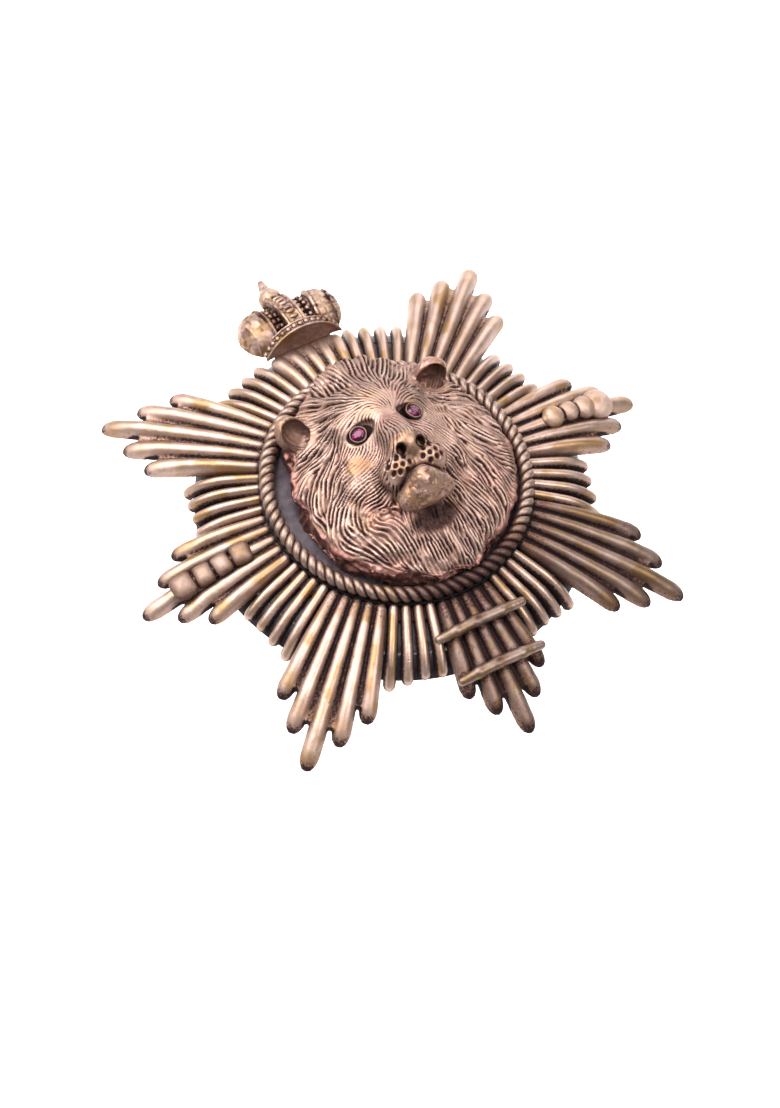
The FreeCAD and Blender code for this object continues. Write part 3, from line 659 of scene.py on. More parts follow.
def make_rope(material):
    """Two strands twisted round a ring; its foot is darker with dirt and a painted shadow of the head.
    """
    turns, offset, half = 39, 0.425, 0.5
    steps = turns * 26
    dark_at, dark_wide, dark_core = math.radians(-85), math.radians(50), math.radians(15)
    around = np.linspace(0, 2 * np.pi, steps, endpoint=False)
    for strand in (0, 1):
        twist = turns * around + math.pi * strand
        r = ROPE_RADIUS + offset * np.cos(twist)
        centres = np.stack([r * np.cos(around), r * np.sin(around),
                            ROPE_Z - offset * np.sin(twist)], 1)
        points, quads = tube(centres, half * (1 + 0.05 * lumps(centres, 1.1, 300 + strand)))
        radial = np.hypot(points[:, 0], points[:, 1]) - ROPE_RADIUS
        core = np.sqrt(radial ** 2 + (points[:, 2] - ROPE_Z) ** 2)
        cavity = smoothstep(0.86, 0.52, core)
        # Painted shade on the strands' undersides.
        rope_underside_shade = smoothstep(0.0, -0.5, points[:, 2] - ROPE_Z)
        # A painted shadow of the head, with dirt, darkens the ring's foot.
        shade = smoothstep(dark_wide, dark_core,
                           np.abs(np.arctan2(points[:, 1], points[:, 0]) - dark_at))
        cavity = np.clip(cavity * (1 + 1.4 * shade) + 0.64 * shade, 0, 1)
        worn = smoothstep(0.2, 0.7, lumps(points, 4.0, 310)) * (1 - cavity) * 0.8
        mesh_piece("rope_strand_%d" % (strand + 1), points, quads, material,
                   replaces="rope_ring", cavity=np.maximum(cavity, rope_underside_shade * 0.7), worn=worn)


# ---------------- lion's head
FACE_CENTRE = np.array((0.3, 0.0, 4.0), np.float32)     # hair is laid out round here
FACE_RADIUS = 13.0
DISH_TOP, DISH_DOME = 7.53, 89.65
MANE_EDGE = ((-180, 12.1), (-172, 12.4), (-154, 12.7), (-128, 12.9), (-101, 13.4), (-80, 13.8),
             (-68, 13.5), (-50, 13.6), (-31, 13.5), (-12, 13.6), (0, 13.5), (13, 13.4),
             (30, 13.7), (61, 14.2), (77, 15.1), (88, 15.6), (98, 15.3), (109, 14.3),
             (136, 13.4), (149, 11.9), (171, 11.9), (180, 12.1))


def mane_edge(angle):
    """The mane's outline: its radius at each angle, from the table above."""
    table = np.array(MANE_EDGE, np.float32)
    return np.interp(np.degrees(angle), table[:, 0], table[:, 1])


def lay_out(points):
    """Flat coordinates of points on the head, seen from inside the face."""
    p = points - FACE_CENTRE
    flat = np.hypot(p[:, 0], p[:, 1])
    reach = np.arctan2(flat, p[:, 2]) * FACE_RADIUS / np.maximum(flat, 1e-6)
    return p[:, 0] * reach, p[:, 1] * reach


def hair_flow(u, v):
    """Direction of the hair: away from the brow and down to the beard's point, with
    one whorl on the cheek."""
    brow_u, brow_v, beard_u, beard_v, soft = 0.0, 4.6, 1.2, -21.0, 0.3
    du, dv = u - brow_u, v - brow_v
    eu, ev = u - beard_u, v - beard_v
    from_brow, to_beard = du ** 2 + dv ** 2 + soft, eu ** 2 + ev ** 2 + soft
    fu, fv = du / from_brow - eu / to_beard, dv / from_brow - ev / to_beard
    whorl_u, whorl_v, spread, pull = -8.8, -6.2, 2.6, 0.21
    swirl = pull * np.exp(-((u - whorl_u) ** 2 + (v - whorl_v) ** 2) / (2 * spread ** 2))
    fu, fv = fu + swirl * -(v - whorl_v) / spread, fv + swirl * (u - whorl_u) / spread
    return np.arctan2(fv, fu)


def smooth_random(shape, cells, rng):
    """Random field with about the given number of cells across, by FFT."""
    rows, cols = np.fft.fftfreq(shape[0]), np.fft.fftfreq(shape[1])
    pitch = shape[0] / cells
    soft = np.exp(-(rows[:, None] ** 2 + cols[None, :] ** 2) * (pitch * 2.2) ** 2)
    field = np.fft.ifft2(np.fft.fft2(rng.standard_normal(shape)) * soft).real
    return field / field.std()


def comb_pattern(cell, pitches, seed, rounds=7):
    """Grow ridges along the hair's flow by filtering noise again and again with
    stripes of the local direction and spacing. pitches is a map of the spacing."""
    size, bins, wander = 22.0, 14, 0.3
    rng = np.random.default_rng(seed)
    n = int(2 * size / cell)
    axis = (np.arange(n) + 0.5) * cell - size
    u, v = np.meshgrid(axis, axis, indexing="ij")
    angle = hair_flow(u, v) + wander * smooth_random(u.shape, 14, rng)
    angle = angle + 0.5 * wander * smooth_random(u.shape, 34, rng)
    fu, fv = np.meshgrid(np.fft.fftfreq(n, cell), np.fft.fftfreq(n, cell), indexing="ij")
    fr, fa = np.hypot(fu, fv), np.arctan2(fv, fu)
    pitch = pitches(u, v)
    levels = np.linspace(pitch.min(), pitch.max(), 3) if np.ptp(pitch) > 1e-6 else [pitch.min()]
    picture = rng.standard_normal((n, n))
    turn = np.mod(angle, np.pi) / np.pi * bins
    for _ in range(rounds):
        spectrum = np.fft.fft2(picture)
        total = np.zeros((n, n))
        for level in levels:
            gap = levels[1] - levels[0] if len(levels) > 1 else 1.0
            share = np.clip(1 - np.abs(pitch - level) / gap, 0, 1)
            band = np.exp(-((fr - 1 / level) * level / 0.28) ** 2)
            for i in range(bins):
                across = (i / bins) * np.pi + np.pi / 2
                off = np.mod(fa - across + np.pi / 2, np.pi) - np.pi / 2
                kernel = band * np.exp(-(off / 0.15) ** 2)
                away = np.abs(np.mod(turn - i + bins / 2, bins) - bins / 2)
                here = np.clip(1 - away, 0, 1) * share
                if here.any():
                    total += here * np.fft.ifft2(spectrum * kernel).real
        picture = np.tanh(total / (total.std() + 1e-9) * 1.4)
    return picture, size, cell


def look_up(pattern, u, v):
    """The pattern's value at flat coordinates, blended between its cells."""
    picture, size, cell = pattern
    n = picture.shape[0]
    x = np.clip((u + size) / cell - 0.5, 0, n - 1.001)
    y = np.clip((v + size) / cell - 0.5, 0, n - 1.001)
    i, j = x.astype(int), y.astype(int)
    a, b = x - i, y - j
    return ((1 - a) * (1 - b) * picture[i, j] + a * (1 - b) * picture[i + 1, j]
            + (1 - a) * b * picture[i, j + 1] + a * b * picture[i + 1, j + 1])


def lion_field():
    """The head's plain masses, on a foot with the mane's outline."""
    field = Field((-13.4, -15.6, 6.1), (15.2, 17.4, 20.2), 0.11)
    x, y, z = field.x, field.y, field.z
    r = np.sqrt(x ** 2 + y ** 2)
    edge = mane_edge(np.arctan2(y, x - 0.3 + 0 * y)).astype(np.float32)
    rise = 1.7 * smoothstep(13.9, 15.2, edge)
    base, tall = 9.3 + 0.7 * rise, 3.3
    rho, up = r / edge, np.maximum(z - base, 0) / tall
    share = np.sqrt(rho ** 2 + up ** 2)
    field.add((share - 1) * np.where(up > 0, 7.0, 13.0))
    field.add(field.ellipsoid((0.1, 3.4, 8.2), (9.2, 9.7, 6.7)), 1.6)                # skull
    field.add(field.ellipsoid((0, 5.8, 9.2), (6.2, 6.2, 6.5)), 1.5)                  # forehead
    for side in (-1, 1):
        field.add(field.ellipsoid((side * 4.7, -0.6, 9.5), (4.2, 4.5, 4.2)), 1.2)    # cheek
        brow_turn, lid_turn = (0, 16 * side, -14 * side), (0, 20 * side, 14 * side)
        field.add(field.ellipsoid((side * 3.5, 5.8, 12.8), (2.6, 1.6, 2.2), brow_turn), 0.9)
        field.add(field.ellipsoid((side * 4.0, 1.6, 12.0), (2.4, 1.9, 2.3), lid_turn), 0.9)
    field.add(field.ellipsoid((0, -1.6, 12.0), (4.1, 3.9, 4.6)), 1.1)                # muzzle
    field.add(field.capsule((0, 5.6, 13.2), (0, -0.3, 16.6), 1.9), 1.0)              # bridge
    for side in (-1, 1):
        ruff, jowl, end = (side * 9.3, 2.0, 8.6), (side * 6.2, -8.5, 8.6), (side * 1.8, -12.6, 8.2)
        field.add(field.capsule(ruff, jowl, 2.3, 1.9), 1.4)
        field.add(field.capsule(jowl, end, 1.9, 1.4), 1.4)
    field.add(field.capsule((0.6, -7.5, 9.6), (1.4, -12.6, 8.2), 2.0, 1.7), 1.3)     # beard
    return field


def lion_features(field):
    """Nose, lips, chin, eye sockets and ears, each in its own small box."""
    for side in (-1, 1):
        pad = field.part((side * 1.9, -2.9, 15.0), (4, 4, 4.6))
        pad.add(pad.ellipsoid((side * 1.85, -2.75, 14.9), (2.3, 1.95, 2.5), (-16, 0, side * 12)), 0.5)
    tip = field.part((0, -0.8, 17.2), (4, 3.6, 3.6))
    tip.add(tip.ellipsoid((0, -0.95, 16.7), (2.1, 1.2, 1.8), (-24, 0, 0)), 0.9)
    for side in (-1, 1):
        tip.add(tip.ellipsoid((side * 1.55, -1.15, 16.7), (0.95, 0.95, 1.3), (-24, 0, 0)), 0.5)
    for side in (-1, 1):
        tip.remove(tip.capsule((side * 1.0, -1.75, 18.8), (side * 1.35, -1.2, 16.8), 0.52, 0.6), 0.22)
    groove = field.part((0, -3.0, 17), (2.2, 3.4, 3.6))
    groove.remove(groove.capsule((0, -2.0, 18.7), (0, -4.5, 17.2), 0.16, 0.2), 0.25)
    for side in (-1, 1):
        mouth = field.part((side * 2.2, -4.6, 14.8), (3.6, 3, 4.5))
        mouth.remove(mouth.capsule((0, -4.55, 17.3), (side * 2.5, -5.1, 15.2), 0.34, 0.4), 0.3)
        mouth.remove(mouth.capsule((side * 2.5, -5.1, 15.2), (side * 4.2, -5.0, 12.8), 0.4, 0.34), 0.3)
    jaw = field.part((0, -6.4, 14), (6, 5.2, 6.5))
    jaw.add(jaw.ellipsoid((0, -5.2, 12.2), (3.2, 1.8, 3.6)), 0.9)
    peak, left, right = (-0.4, -5.25, 16.95), (-2.4, -6.3, 14.9), (1.7, -6.3, 14.9)
    chin = smooth_union(jaw.capsule(peak, left, 1.0, 1.1), jaw.capsule(peak, right, 1.0, 1.1), 1.5)
    chin = smooth_union(chin, jaw.capsule(left, right, 1.05), 1.5)
    filling = jaw.ellipsoid((-0.35, -6.0, 15.6), (2.1, 1.6, 1.85), (-58, 0, 0))
    jaw.add(smooth_union(chin, filling, 1.3) + 0.05, 0.2)
    for side in (-1, 1):
        eye = field.part((side * 3.68, 3.79, 14.4), (3.6, 2.6, 3.2))
        slant = (0, 16 * side, -14 * side)
        eye.remove(eye.ellipsoid((side * 3.42, 3.84, 15.1), (2.0, 1.1, 1.15), slant), 0.22)
        eye.add(eye.ellipsoid((side * 3.7, 3.74, 13.2), (1.5, 1.1, 1.1), (0, 16 * side, 0)), 0.2)
    for side, opening in ((-1, (0.30, -0.62, 0.72)), (1, (-0.25, -0.90, 0.36))):
        add_ear(field, side, Vector(opening).normalized())


def add_ear(field, side, facing):
    """A cupped ear on a short stem; facing is the way that it opens."""
    ear = field.part((side * 9.2, 9.2, 11.0), (4.4, 4.6, 4.4))
    tall = Vector((side * 0.62, 0.72, 0.30))
    tall = (tall - facing * tall.dot(facing)).normalized()
    axes = (facing.cross(tall), tall, facing)
    centre = np.array((side * 8.95, 9.0, 11.0))
    cup = ear.ellipsoid(centre, (1.95, 2.45, 1.75), axes)
    rim = sum((q - c) * f for q, c, f in zip((ear.x, ear.y, ear.z), centre, facing)) - 0.6
    cup = smooth_cut(cup, -rim, 0.2)
    ear.add(ear.capsule(centre * (0.8, 0.85, 0.86), centre - np.array(tall) * 1.2, 2.2, 1.5), 0.6)
    ear.add(cup, 0.3)
    hole = centre + np.array(facing) * 0.55 - np.array(tall) * 0.15
    ear.remove(ear.ellipsoid(hole + (0.1 * side, 0, 0), (1.6, 2.1, 1.35), axes), 0.2)


def make_lion(material):
    field = lion_field()
    lion_features(field)
    r2 = field.x ** 2 + field.y ** 2
    rim_radius, rim_height = 13.6, 8.8                 # where the mane hangs over the rope
    foot = np.maximum(DISH_TOP - r2 / (2 * DISH_DOME), rim_height * (r2 > rim_radius ** 2))
    field.cut_where(foot - field.z)
    points, quads, normals = field.surface()
    height, facing_up = points[:, 2], normals[:, 2]
    u, v = lay_out(points)

    def pitches(pu, pv):
        return 0.37 + 0.15 * smoothstep(4.5, 10.0, np.hypot(pu, pv - 1.5))

    def wide_locks(pu, pv):
        return np.full_like(pu, 2.4)

    line = look_up(comb_pattern(0.1, pitches, 5), u, v)
    lock = look_up(comb_pattern(0.2, wide_locks, 9, rounds=5), u, v)
    bald = bald_spots(points)
    away = np.hypot(u, v - 2.0)
    # Grooves between the hairs widen and deepen from the face to the mane.
    breaks = smoothstep(-0.7, 0.4, lumps(points, 1.0, 41))
    width = 0.25 * smoothstep(4.0, 8.0, away)
    groove = smoothstep(0.02 + width, -0.75 + width, line) * (1 - bald) * (0.4 + 0.6 * breaks)
    deep = 0.075 + 0.145 * smoothstep(3.5, 8.5, away)
    # The mane's lower edge is torn, not combed.
    torn = smoothstep(11.0, 9.2, height) * smoothstep(0.75, 0.35, facing_up)
    creases = 0.5 - np.abs(lumps(points, 0.9, 52)) * 2
    rough = (lumps(points, 2.3, 51) * 0.5 + creases * 0.26 + lumps(points, 0.4, 54) * 0.1) * torn
    swell = lock * 0.20 * smoothstep(6.0, 9.5, away) * (1 - bald) * (1 - torn)
    move = swell - groove * deep * (1 - torn) + rough + 0.02 * lumps(points, 0.5, 53)
    dots = whisker_dots(points)
    cavity = highest(field.hollow_at(points, normals, 0.6) * 0.9, groove * (1 - 0.8 * torn),
                     smoothstep(0.1, -0.6, lock) * 0.3 * smoothstep(7, 10, away),
                     dots * 0.95, dark_corners(points))
    # The chin is veined and mottled, and the throat under it gets a painted shadow.
    chin = near(points, (-0.35, -6.0, 15.8), (4.2, 2.9, 4.2))
    veins = smoothstep(0.13, 0.0, np.abs(lumps(points, 0.6, 65))) * chin
    mottle = 0.6 * lumps(points, 0.9, 66) + 0.7 * lumps(points, 0.3, 67)
    cavity = highest(cavity, 0.6 * veins, 0.5 * (chin * smoothstep(-0.2, 0.4, mottle)))
    move = move - 0.28 * dots + chin * (0.07 * lumps(points, 0.7, 69) - 0.05 * veins)
    points = points + normals * move[:, None]
    # Painted shadow under the chin.
    from_throat = np.sqrt((((points - (0.0, -8.2, 12.0)) / (4.0, 2.2, 2.8)) ** 2).sum(1))
    throat_shadow = smoothstep(1.0, 0.5, from_throat) * smoothstep(14.2, 13.2, points[:, 2])
    nose = near(points, (0, -1.2, 17.2), (2.8, 1.8, 2.4))
    cavity = highest(cavity, 0.76 * throat_shadow, 0.5 * nose * smoothstep(-0.4, 0.5, lumps(points, 0.45, 68)))
    worn = highest(bald * 0.6 * smoothstep(-0.3, 0.4, lumps(points, 1.3, 61)),
                   0.5 * smoothstep(0.25, 0.7, lumps(points, 2.6, 62)),
                   cheek_patch(points, -1), 0.5 * nose)
    copper = 0.14 + torn + 0.35 * smoothstep(0.2, 0.7, lumps(points, 3.0, 71))
    # Painted highlight on the tops of the hair ridges.
    crest = smoothstep(0.3, 0.95, line) * (1 - bald) * 0.22
    mesh_piece("lion_casting", points, quads, material, replaces="lion_head",
               cavity=np.clip(cavity, 0, 1), worn=np.clip(worn, 0, 1), copper=np.clip(copper, 0, 1),
               crest=crest)


def near(points, centre, radii):
    """1 inside an ellipsoid, falling to 0 at its surface."""
    d = (points - np.array(centre, np.float32)) / np.array(radii, np.float32)
    return smoothstep(1.0, 0.8, np.sqrt((d ** 2).sum(1)))


def cheek_patch(points, side):
    """A rubbed patch with a frayed outline under the eye on one side."""
    frayed = points + 0.6 * np.stack([lumps(points, 1.1, seed) for seed in (81, 82, 83)], 1)
    away = (frayed - np.array((side * 5.0, 0.7, 13.3))) / np.array((1.7, 1.5, 2.2))
    return smoothstep(1.0, 0.5, np.sqrt((away ** 2).sum(1)))


def bald_spots(points):
    """Where the metal is smooth: nose, chin, lips, round the eyes and in the ears."""
    spots = highest(0.8 * near(points, (0, -1.6, 18.0), (2.1, 1.5, 2.2)),
                    near(points, (-0.35, -6.1, 16.0), (4.2, 2.9, 4.4)),
                    0.7 * cheek_patch(points, -1), 0.35 * cheek_patch(points, 1))
    for side in (-1, 1):
        spots = highest(spots, near(points, (side * 3.7, 3.8, 15.0), (2.3, 1.45, 2.0)),
                        0.7 * near(points, (side * 9.1, 8.8, 12.0), (3.1, 3.1, 3.0)),
                        near(points, (side * 1.8, -3.4, 16.2), (2.2, 1.6, 2.6)))
    return spots


def dark_corners(points):
    """Darker round the eyes, in the nostrils and inside the ears."""
    dark = np.zeros(len(points), np.float32)
    for side in (-1, 1):
        dark = highest(dark, near(points, (side * 3.36, 3.9, 14.5), (1.9, 1.1, 1.4)),
                       0.45 * near(points, (side * 8.95, 8.8, 11.0), (2.0, 2.2, 1.9)),
                       near(points, (side * 1.2, -1.2, 17.4), (0.75, 0.8, 1.2)))
    return dark


def whisker_dots(points):
    """Punched dots in three short rows on each lip."""
    dots = np.zeros(len(points), np.float32)
    places = ((1.25, -2.15), (2.15, -2.0), (3.05, -1.6), (0.8, -2.95), (1.75, -2.95),
              (2.65, -2.75), (3.4, -2.3), (1.45, -3.75), (2.4, -3.6), (3.15, -3.35))
    lip_height, dot_radius, dot_floor = 13.4, 0.36, 0.22
    for side in (-1, 1):
        for across, along in places:
            d = np.hypot(points[:, 0] - side * across, points[:, 1] - along)
            dots = np.maximum(dots, smoothstep(dot_radius, dot_floor, d) * (points[:, 2] > lip_height))
    return dots


# ---------------- bead rows and bars
def cast_piece(name, field, place, material, replaces, seed,
               crest=0.7, reach=0.35, bump=0.02, mottle=0.1, front=0.0, depth=1.15):
    """Mesh a small casting from its field and put it in place. Depth is how dark its
    hollows are, mottle its blots, front the painted shade on the side facing the star's foot."""
    points, quads, normals = field.surface()
    cavity = np.clip(field.hollow_at(points, normals, reach) * depth, 0, 1)
    dents = lumps(points, 0.9, seed) * 0.6 + lumps(points, 0.35, seed + 1) * 0.4
    worn = crest * smoothstep(0.1, 0.7, lumps(points, 1.2, seed + 2)) * (1 - cavity)
    blots = 0.7 * lumps(points, 1.1, seed + 5) + 0.5 * lumps(points, 0.35, seed + 6)
    # Painted shade on the faces that look down to the star's foot.
    shaded_side = smoothstep(-0.4, -0.8, normals[:, 1])
    cavity = cavity + mottle * smoothstep(-0.15, 0.5, blots) * (1 - shaded_side)
    cavity = np.clip(np.maximum(cavity, front * shaded_side), 0, 1)
    points = points + normals * (dents * bump)[:, None]
    points = points @ np.array(place.to_3x3().transposed()) + np.array(place.translation)
    mesh_piece(name, points, quads, material, replaces=replaces, cavity=cavity, worn=worn)


def on_ray(radius, degrees):
    """Frame on a ray's crest: x outward, y across, z out of the face."""
    lean = math.atan(radius / DOME)
    seat = ray_floor(radius) + RAY_HIGH
    return (Matrix.Rotation(math.radians(degrees), 4, "Z")
            @ Matrix.Translation((radius, 0, seat)) @ Matrix.Rotation(lean, 4, "Y"))


def pillow(field, centre, radii, degrees):
    """A plump cushion shape: nearly square in plan, round on top."""
    power = 3.8
    c, s = math.cos(math.radians(degrees)), math.sin(math.radians(degrees))
    dx, dy = field.x - centre[0], field.y - centre[1]
    turned = (c * dx + s * dy, c * dy - s * dx, field.z - centre[2])
    p = [np.abs(q) / r for q, r in zip(turned, radii)]
    plan = (p[0] ** power + p[1] ** power) ** (2 / power)
    return (np.sqrt(plan + p[2] ** 2) - 1) * min(radii) * 0.85


def make_bead_rows(brown, rose):
    """Four cushions on the left plume; three beads and a hood on the right one."""
    field = Field((-6.2, -2.4, -0.6), (6.2, 2.4, 1.9), 0.075)
    field.add(field.capsule((-4.3, 0, -0.1), (4.4, 0, -0.1), 0.5))
    for x, long, wide, high, turn in ((-3.65, 1.27, 1.36, 0.86, -6), (-1.2, 1.20, 1.32, 0.80, 7),
                                      (1.15, 1.22, 1.36, 0.82, -4), (3.8, 1.46, 1.52, 0.92, 5)):
        field.add(pillow(field, (x, 0, 0.05), (long, wide, high), turn), 0.05)
    field.cut_where(-0.5 - field.z)
    cast_piece("cushion_bead_casting", field, on_ray(23.8, 180), brown, "cushion_bead_row", 500)
    field = Field((-5.6, -2.6, -1.0), (6.2, 2.6, 2.4), 0.075)
    field.add(field.capsule((-4.4, 0, -0.2), (4.2, 0, -0.4), 0.6))
    field.add(field.ellipsoid((3.0, 0.1, -0.1), (1.85, 1.95, 1.2)), 0.2)           # hood
    for x, y, r in ((-3.5, 0.0, 1.27), (-1.2, 0.15, 1.16), (0.95, 0.1, 1.34)):
        field.add(field.ellipsoid((x, y, 0.0), (r, 1.06 * r, 0.86 * r)), 0.1)
    field.cut_where(-0.9 - field.z)
    cast_piece("round_bead_casting", field, on_ray(24.4, 0), rose, "round_bead_row", 520, bump=0.07)


def make_bars(material):
    """Two uneven rods that droop at their ends."""
    for label, down, half, droop in (("inner_cross_bar", BAR_Y[0], 5.35, 0.25),
                                     ("outer_cross_bar", BAR_Y[1], 5.1, 0.45)):
        z = ray_floor(down) + RAY_HIGH + 0.42
        field = Field((-6.2, -1.0, -1.5), (6.2, 1.0, 1.0), 0.075)
        knots = [(-half, 0.02, -droop - 0.25), (-0.6 * half, -0.05, -0.05), (-0.1 * half, 0.04, 0.08),
                 (0.5 * half, -0.02, 0.0), (half, 0.05, -droop)]
        sizes = (0.52, 0.65, 0.69, 0.65, 0.54)
        for a, b, ra, rb in zip(knots, knots[1:], sizes, sizes[1:]):
            field.add(field.capsule(a, b, ra, rb), 0.3)
        cast_piece(label + "_casting", field, Matrix.Translation((0, -down, z)), material,
                   label, 540, bump=0.045, mottle=0.0)


# ---------------- crown
def make_crown(material):
    """Half a crown: y is its height and z its depth until it is put in place."""
    field = Field((-6.9, -0.3, -0.3), (6.9, 10.4, 4.5), 0.085)
    x, y, z = field.x, field.y, field.z
    band_r, sink = 5.4, 2.4
    rho = np.sqrt(x ** 2 + (z + sink) ** 2)
    turn = np.arctan2(x, z + sink)
    field.add(field.ellipsoid((0, 3.9, 0.2), (2.9, 3.1, 2.35)))
    for side in (-1, 1):
        lobe = field.ellipsoid((side * 3.75, 3.65, 0.35), (2.75, 3.15, 2.75))
        field.add(lobe + 0.3, 0.15)
        field.add(np.maximum(lobe, 2.9 - side * x), 0.08)
        spine = np.abs(x - side * (3.0 + 0.10 * (y - 3.6))) - 0.17
        field.add(np.maximum(spine, lobe - 0.24), 0.12)
        edge = np.abs(x - side * (5.35 + 0.12 * (y - 3.6))) - 0.13
        field.add(np.maximum(edge, lobe - 0.09 - 0.04 * side), 0.2)
        for column, swell in ((1.55, 2.55), (2.25, 2.65)):
            for i in range(9):
                at = math.radians(4 + 18 * i)
                up, out = 3.8 - 1.05 * swell * math.cos(at), 0.2 + 0.86 * swell * math.sin(at)
                centre = (side * column, up, out)
                pearl = field.part(centre, (0.9, 0.8, 0.8))
                pearl.add(pearl.ellipsoid(centre, (0.33, 0.31, 0.33)), 0.05)
        if side > 0:                         # only the right lobe shows cut panels
            around = np.arctan2(z - 0.35, 3.65 - y)
            pitch = math.radians(23)
            seam = np.abs(np.mod(around, pitch) - pitch / 2) * 2.8 - 0.10
            seam = np.minimum(seam, np.minimum(np.abs(x - 4.05), np.abs(x - 5.0)) - 0.07)
            seam = highest(seam, -0.05 - lobe, 3.2 - x)
            field.remove(seam, 0.2)
    arch_y, arch_z, arch_r = 3.8, -1.95, 5.0
    sway = 0.09                              # the arch leans a little to the left
    bow = np.sqrt((y - arch_y) ** 2 + (z - arch_z) ** 2)
    xs = x + sway * (y - 1.2)
    strap = highest(np.abs(bow - arch_r + 0.7) - 1.1, np.abs(xs) - 1.1, y - 6.3, 0.4 - y)
    field.add(strap, 0.08)
    for side in (-1, 1):
        ridge = np.sqrt((bow - arch_r - 0.42) ** 2 + (xs - side * 1.0) ** 2) - 0.19
        field.add(highest(ridge, y - 6.3, 0.4 - y), 0.06)
    for i in range(7):
        at = math.radians(-27 + 8.0 * i)
        up, out = (arch_r + 0.42) * math.sin(at), (arch_r + 0.42) * math.cos(at)
        centre = (-sway * (arch_y + up - 1.2), arch_y + up, arch_z + out)
        pearl = field.part(centre, (0.6, 0.6, 0.6))
        pearl.add(pearl.ellipsoid(centre, (0.56, 0.3, 0.28)), 0.06)
    band = np.maximum(np.abs(y - 0.62) - 0.6, rho - band_r)
    field.add(band, 0.06)
    for at in (0.10, 1.18):
        ridge = np.sqrt((rho - band_r) ** 2 + (y - at) ** 2) - 0.18
        field.add(ridge, 0.04)
    pitch = 0.80 / band_r
    local = (np.mod(turn + pitch / 2, pitch) - pitch / 2) * band_r
    bead = np.sqrt((local / 0.33) ** 2 + ((y - 0.64) / 0.33) ** 2 + ((rho - band_r) / 0.34) ** 2)
    field.add((bead - 1) * 0.3, 0.03)
    # The orb and its finial
    field.add(field.ellipsoid((-0.6, 7.1, 2.0), (1.4, 1.4, 1.35)), 0.12)
    field.add(field.capsule((-0.6, 8.1, 2.1), (-0.4, 9.7, 2.3), 0.72, 0.44), 0.35)
    field.cut_where(-z)
    foot = Matrix.Translation((0, 21.9, 5.18)) @ Matrix.Rotation(math.radians(-16.4), 4, "X")
    cast_piece("crown_casting", field, foot, material, "crown", 560,
               crest=0.8, reach=0.34, bump=0.08, mottle=0.5, front=0.4, depth=0.85)


# ---------------- eyes
def lathe(profile):
    """Spin (radius, height) pairs round Z into a closed ring."""
    sides = 48
    turn = np.linspace(0, 2 * np.pi, sides, endpoint=False)
    profile = np.array(profile)
    rows = [np.stack([r * np.cos(turn), r * np.sin(turn), np.full(sides, h)], 1) for r, h in profile]
    i, j = np.meshgrid(np.arange(len(profile)), np.arange(sides), indexing="ij")
    up, across = (i + 1) % len(profile), (j + 1) % sides
    quads = np.stack([i * sides + j, i * sides + across, up * sides + across, up * sides + j], -1)
    return np.concatenate(rows), quads.reshape(-1, 4)


def make_eyes(metal, stone):
    """Two stones in ring settings that lean outward with the eye sockets."""
    for side, word in ((-1, "left"), (1, "right")):
        seat = (Matrix.Translation((side * 3.68, 3.79, 14.95))
                @ Matrix.Rotation(math.radians(16 * side), 4, "Y"))
        rows, place = np.array(seat.to_3x3().transposed()), np.array(seat.translation)
        ring = [(0.70, -0.70), (1.06, -0.70), (1.08, -0.25), (1.04, -0.08), (0.99, -0.01),
                (0.93, -0.01), (0.86, -0.08), (0.74, -0.22)]
        points, quads = lathe(ring)
        wobble = 1 + 0.03 * lumps(points, 0.5, 600 + side)[:, None] * (1, 1, 0)
        dark = 0.35 + 0.65 * smoothstep(-0.04, -0.14, points[:, 2])
        mesh_piece("eye_bezel_ring_" + word, points * wobble @ rows + place, quads, metal,
                   replaces="eye_bezel_" + word, cavity=dark)
        make_gem("eye_stone_cut_" + word, seat, stone, "eye_stone_" + word)


def make_gem(name, seat, material, replaced):
    """A round eight-sided cut: table, crown facets, girdle and pavilion."""
    # Radius, height and turn of each level; the turn is a share of a facet.
    levels = ((0.42, 0.12, 0.0), (0.64, 0.02, 0.5), (0.83, -0.16, 0.0), (0.83, -0.20, 0.0),
              (0.45, -0.46, 0.5))
    corners, count = [], 8
    for radius, height, offset in levels:
        for k in range(count):
            at = 2 * math.pi * (k + offset) / count
            corners.append(seat @ Vector((radius * math.cos(at), radius * math.sin(at), height)))
    corners.append(seat @ Vector((0, 0, -0.62)))
    faces = [tuple(range(count))]
    for row in range(len(levels) - 1):
        a, b = row * count, (row + 1) * count
        turned = levels[row + 1][2] - levels[row][2]
        for k in range(count):
            k1 = (k + 1) % count
            if turned == 0:
                faces.append((a + k, b + k, b + k1, a + k1))
            elif turned > 0:
                faces += [(a + k, b + k, a + k1), (b + k, b + k1, a + k1)]
            else:
                faces += [(a + k, b + k, b + k1), (a + k, b + k1, a + k1)]
    low = (len(levels) - 1) * count
    faces += [(low + k, len(corners) - 1, low + (k + 1) % count) for k in range(count)]
    mesh = bpy.data.meshes.new(name)
    mesh.from_pydata([c * MM for c in corners], [], faces)
    mesh.validate()
    mesh.materials.append(material)
    gem = link(name, mesh)
    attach(gem, "badge")
    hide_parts(replaced)


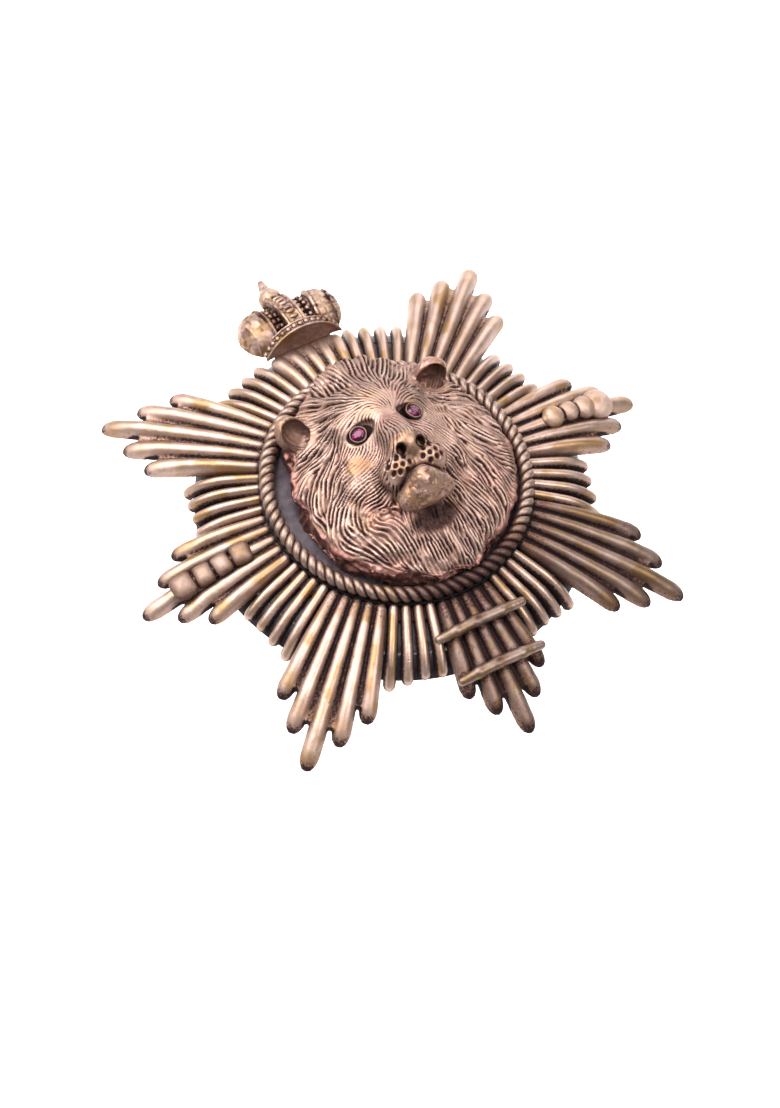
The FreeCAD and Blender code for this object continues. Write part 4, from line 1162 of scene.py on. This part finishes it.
# ---------------- main
make_camera()
make_studio()
bronze_rays = bronze("bronze_rays", tone=0.585, rough=0.46, gold=0.4, speck=0.35, ragged=2.0)
# A darker copy of the ray bronze for the plumes away from the lamps: brown dirt and painted shade.
bronze_dirty_and_shaded = bronze("bronze_dirty_and_shaded", tone=0.29, rough=0.46, gold=0.5, speck=0.6, ragged=2.0)
bronze_rope = bronze("bronze_rope", tone=0.38, rough=0.46, gold=0.25, speck=0.25)
bronze_lion = bronze("bronze_lion", tone=0.49, rough=0.46, gold=0.3, speck=0.35, copper=0.8)
bronze_crown = bronze("bronze_crown", tone=0.54, rough=0.49, gold=0.6, speck=0.5)
bronze_bars = bronze("bronze_bars", tone=0.30, rough=0.48, gold=0.6, speck=0.5)
bronze_beads = bronze("bronze_beads", tone=0.45, rough=0.55, gold=0.6, speck=0.6)
bronze_pellets = bronze("bronze_pellets", tone=0.60, rough=0.64, gold=0.25, speck=0.5)
bezel_dark = bronze("bezel_dark", tone=0.28, rough=0.34, gold=0.2, speck=0.6)
plate_black = plain_metal("plate_black", (0.045, 0.041, 0.047), (0.022, 0.019, 0.022), 0.42)
dish_grey = plain_metal("dish_grey", (0.042, 0.035, 0.040), (0.026, 0.021, 0.025), 0.42)
fixing = plain_metal("fixing_brass", (0.50, 0.37, 0.20), (0.30, 0.20, 0.12), 0.36)
steel = plain_metal("pin_wire", (0.36, 0.36, 0.38), (0.24, 0.23, 0.24), 0.32, scale=1500)
red_stone = garnet("garnet")
make_plumes(bronze_rays, bronze_dirty_and_shaded)
make_short_rays(bronze_rays)
make_rope(bronze_rope)
make_lion(bronze_lion)
make_bead_rows(bronze_beads, bronze_pellets)
make_bars(bronze_bars)
make_crown(bronze_crown)
make_eyes(bezel_dark, red_stone)
# The plate, the dish and the fixings keep their CAD shapes.
looks = {"backing_plate": plate_black, "centre_dish": dish_grey, "pin_stem": steel}
for label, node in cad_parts.items():
    node.data.materials.clear()
    node.data.materials.append(looks.get(label, red_stone if "stone" in label else fixing))
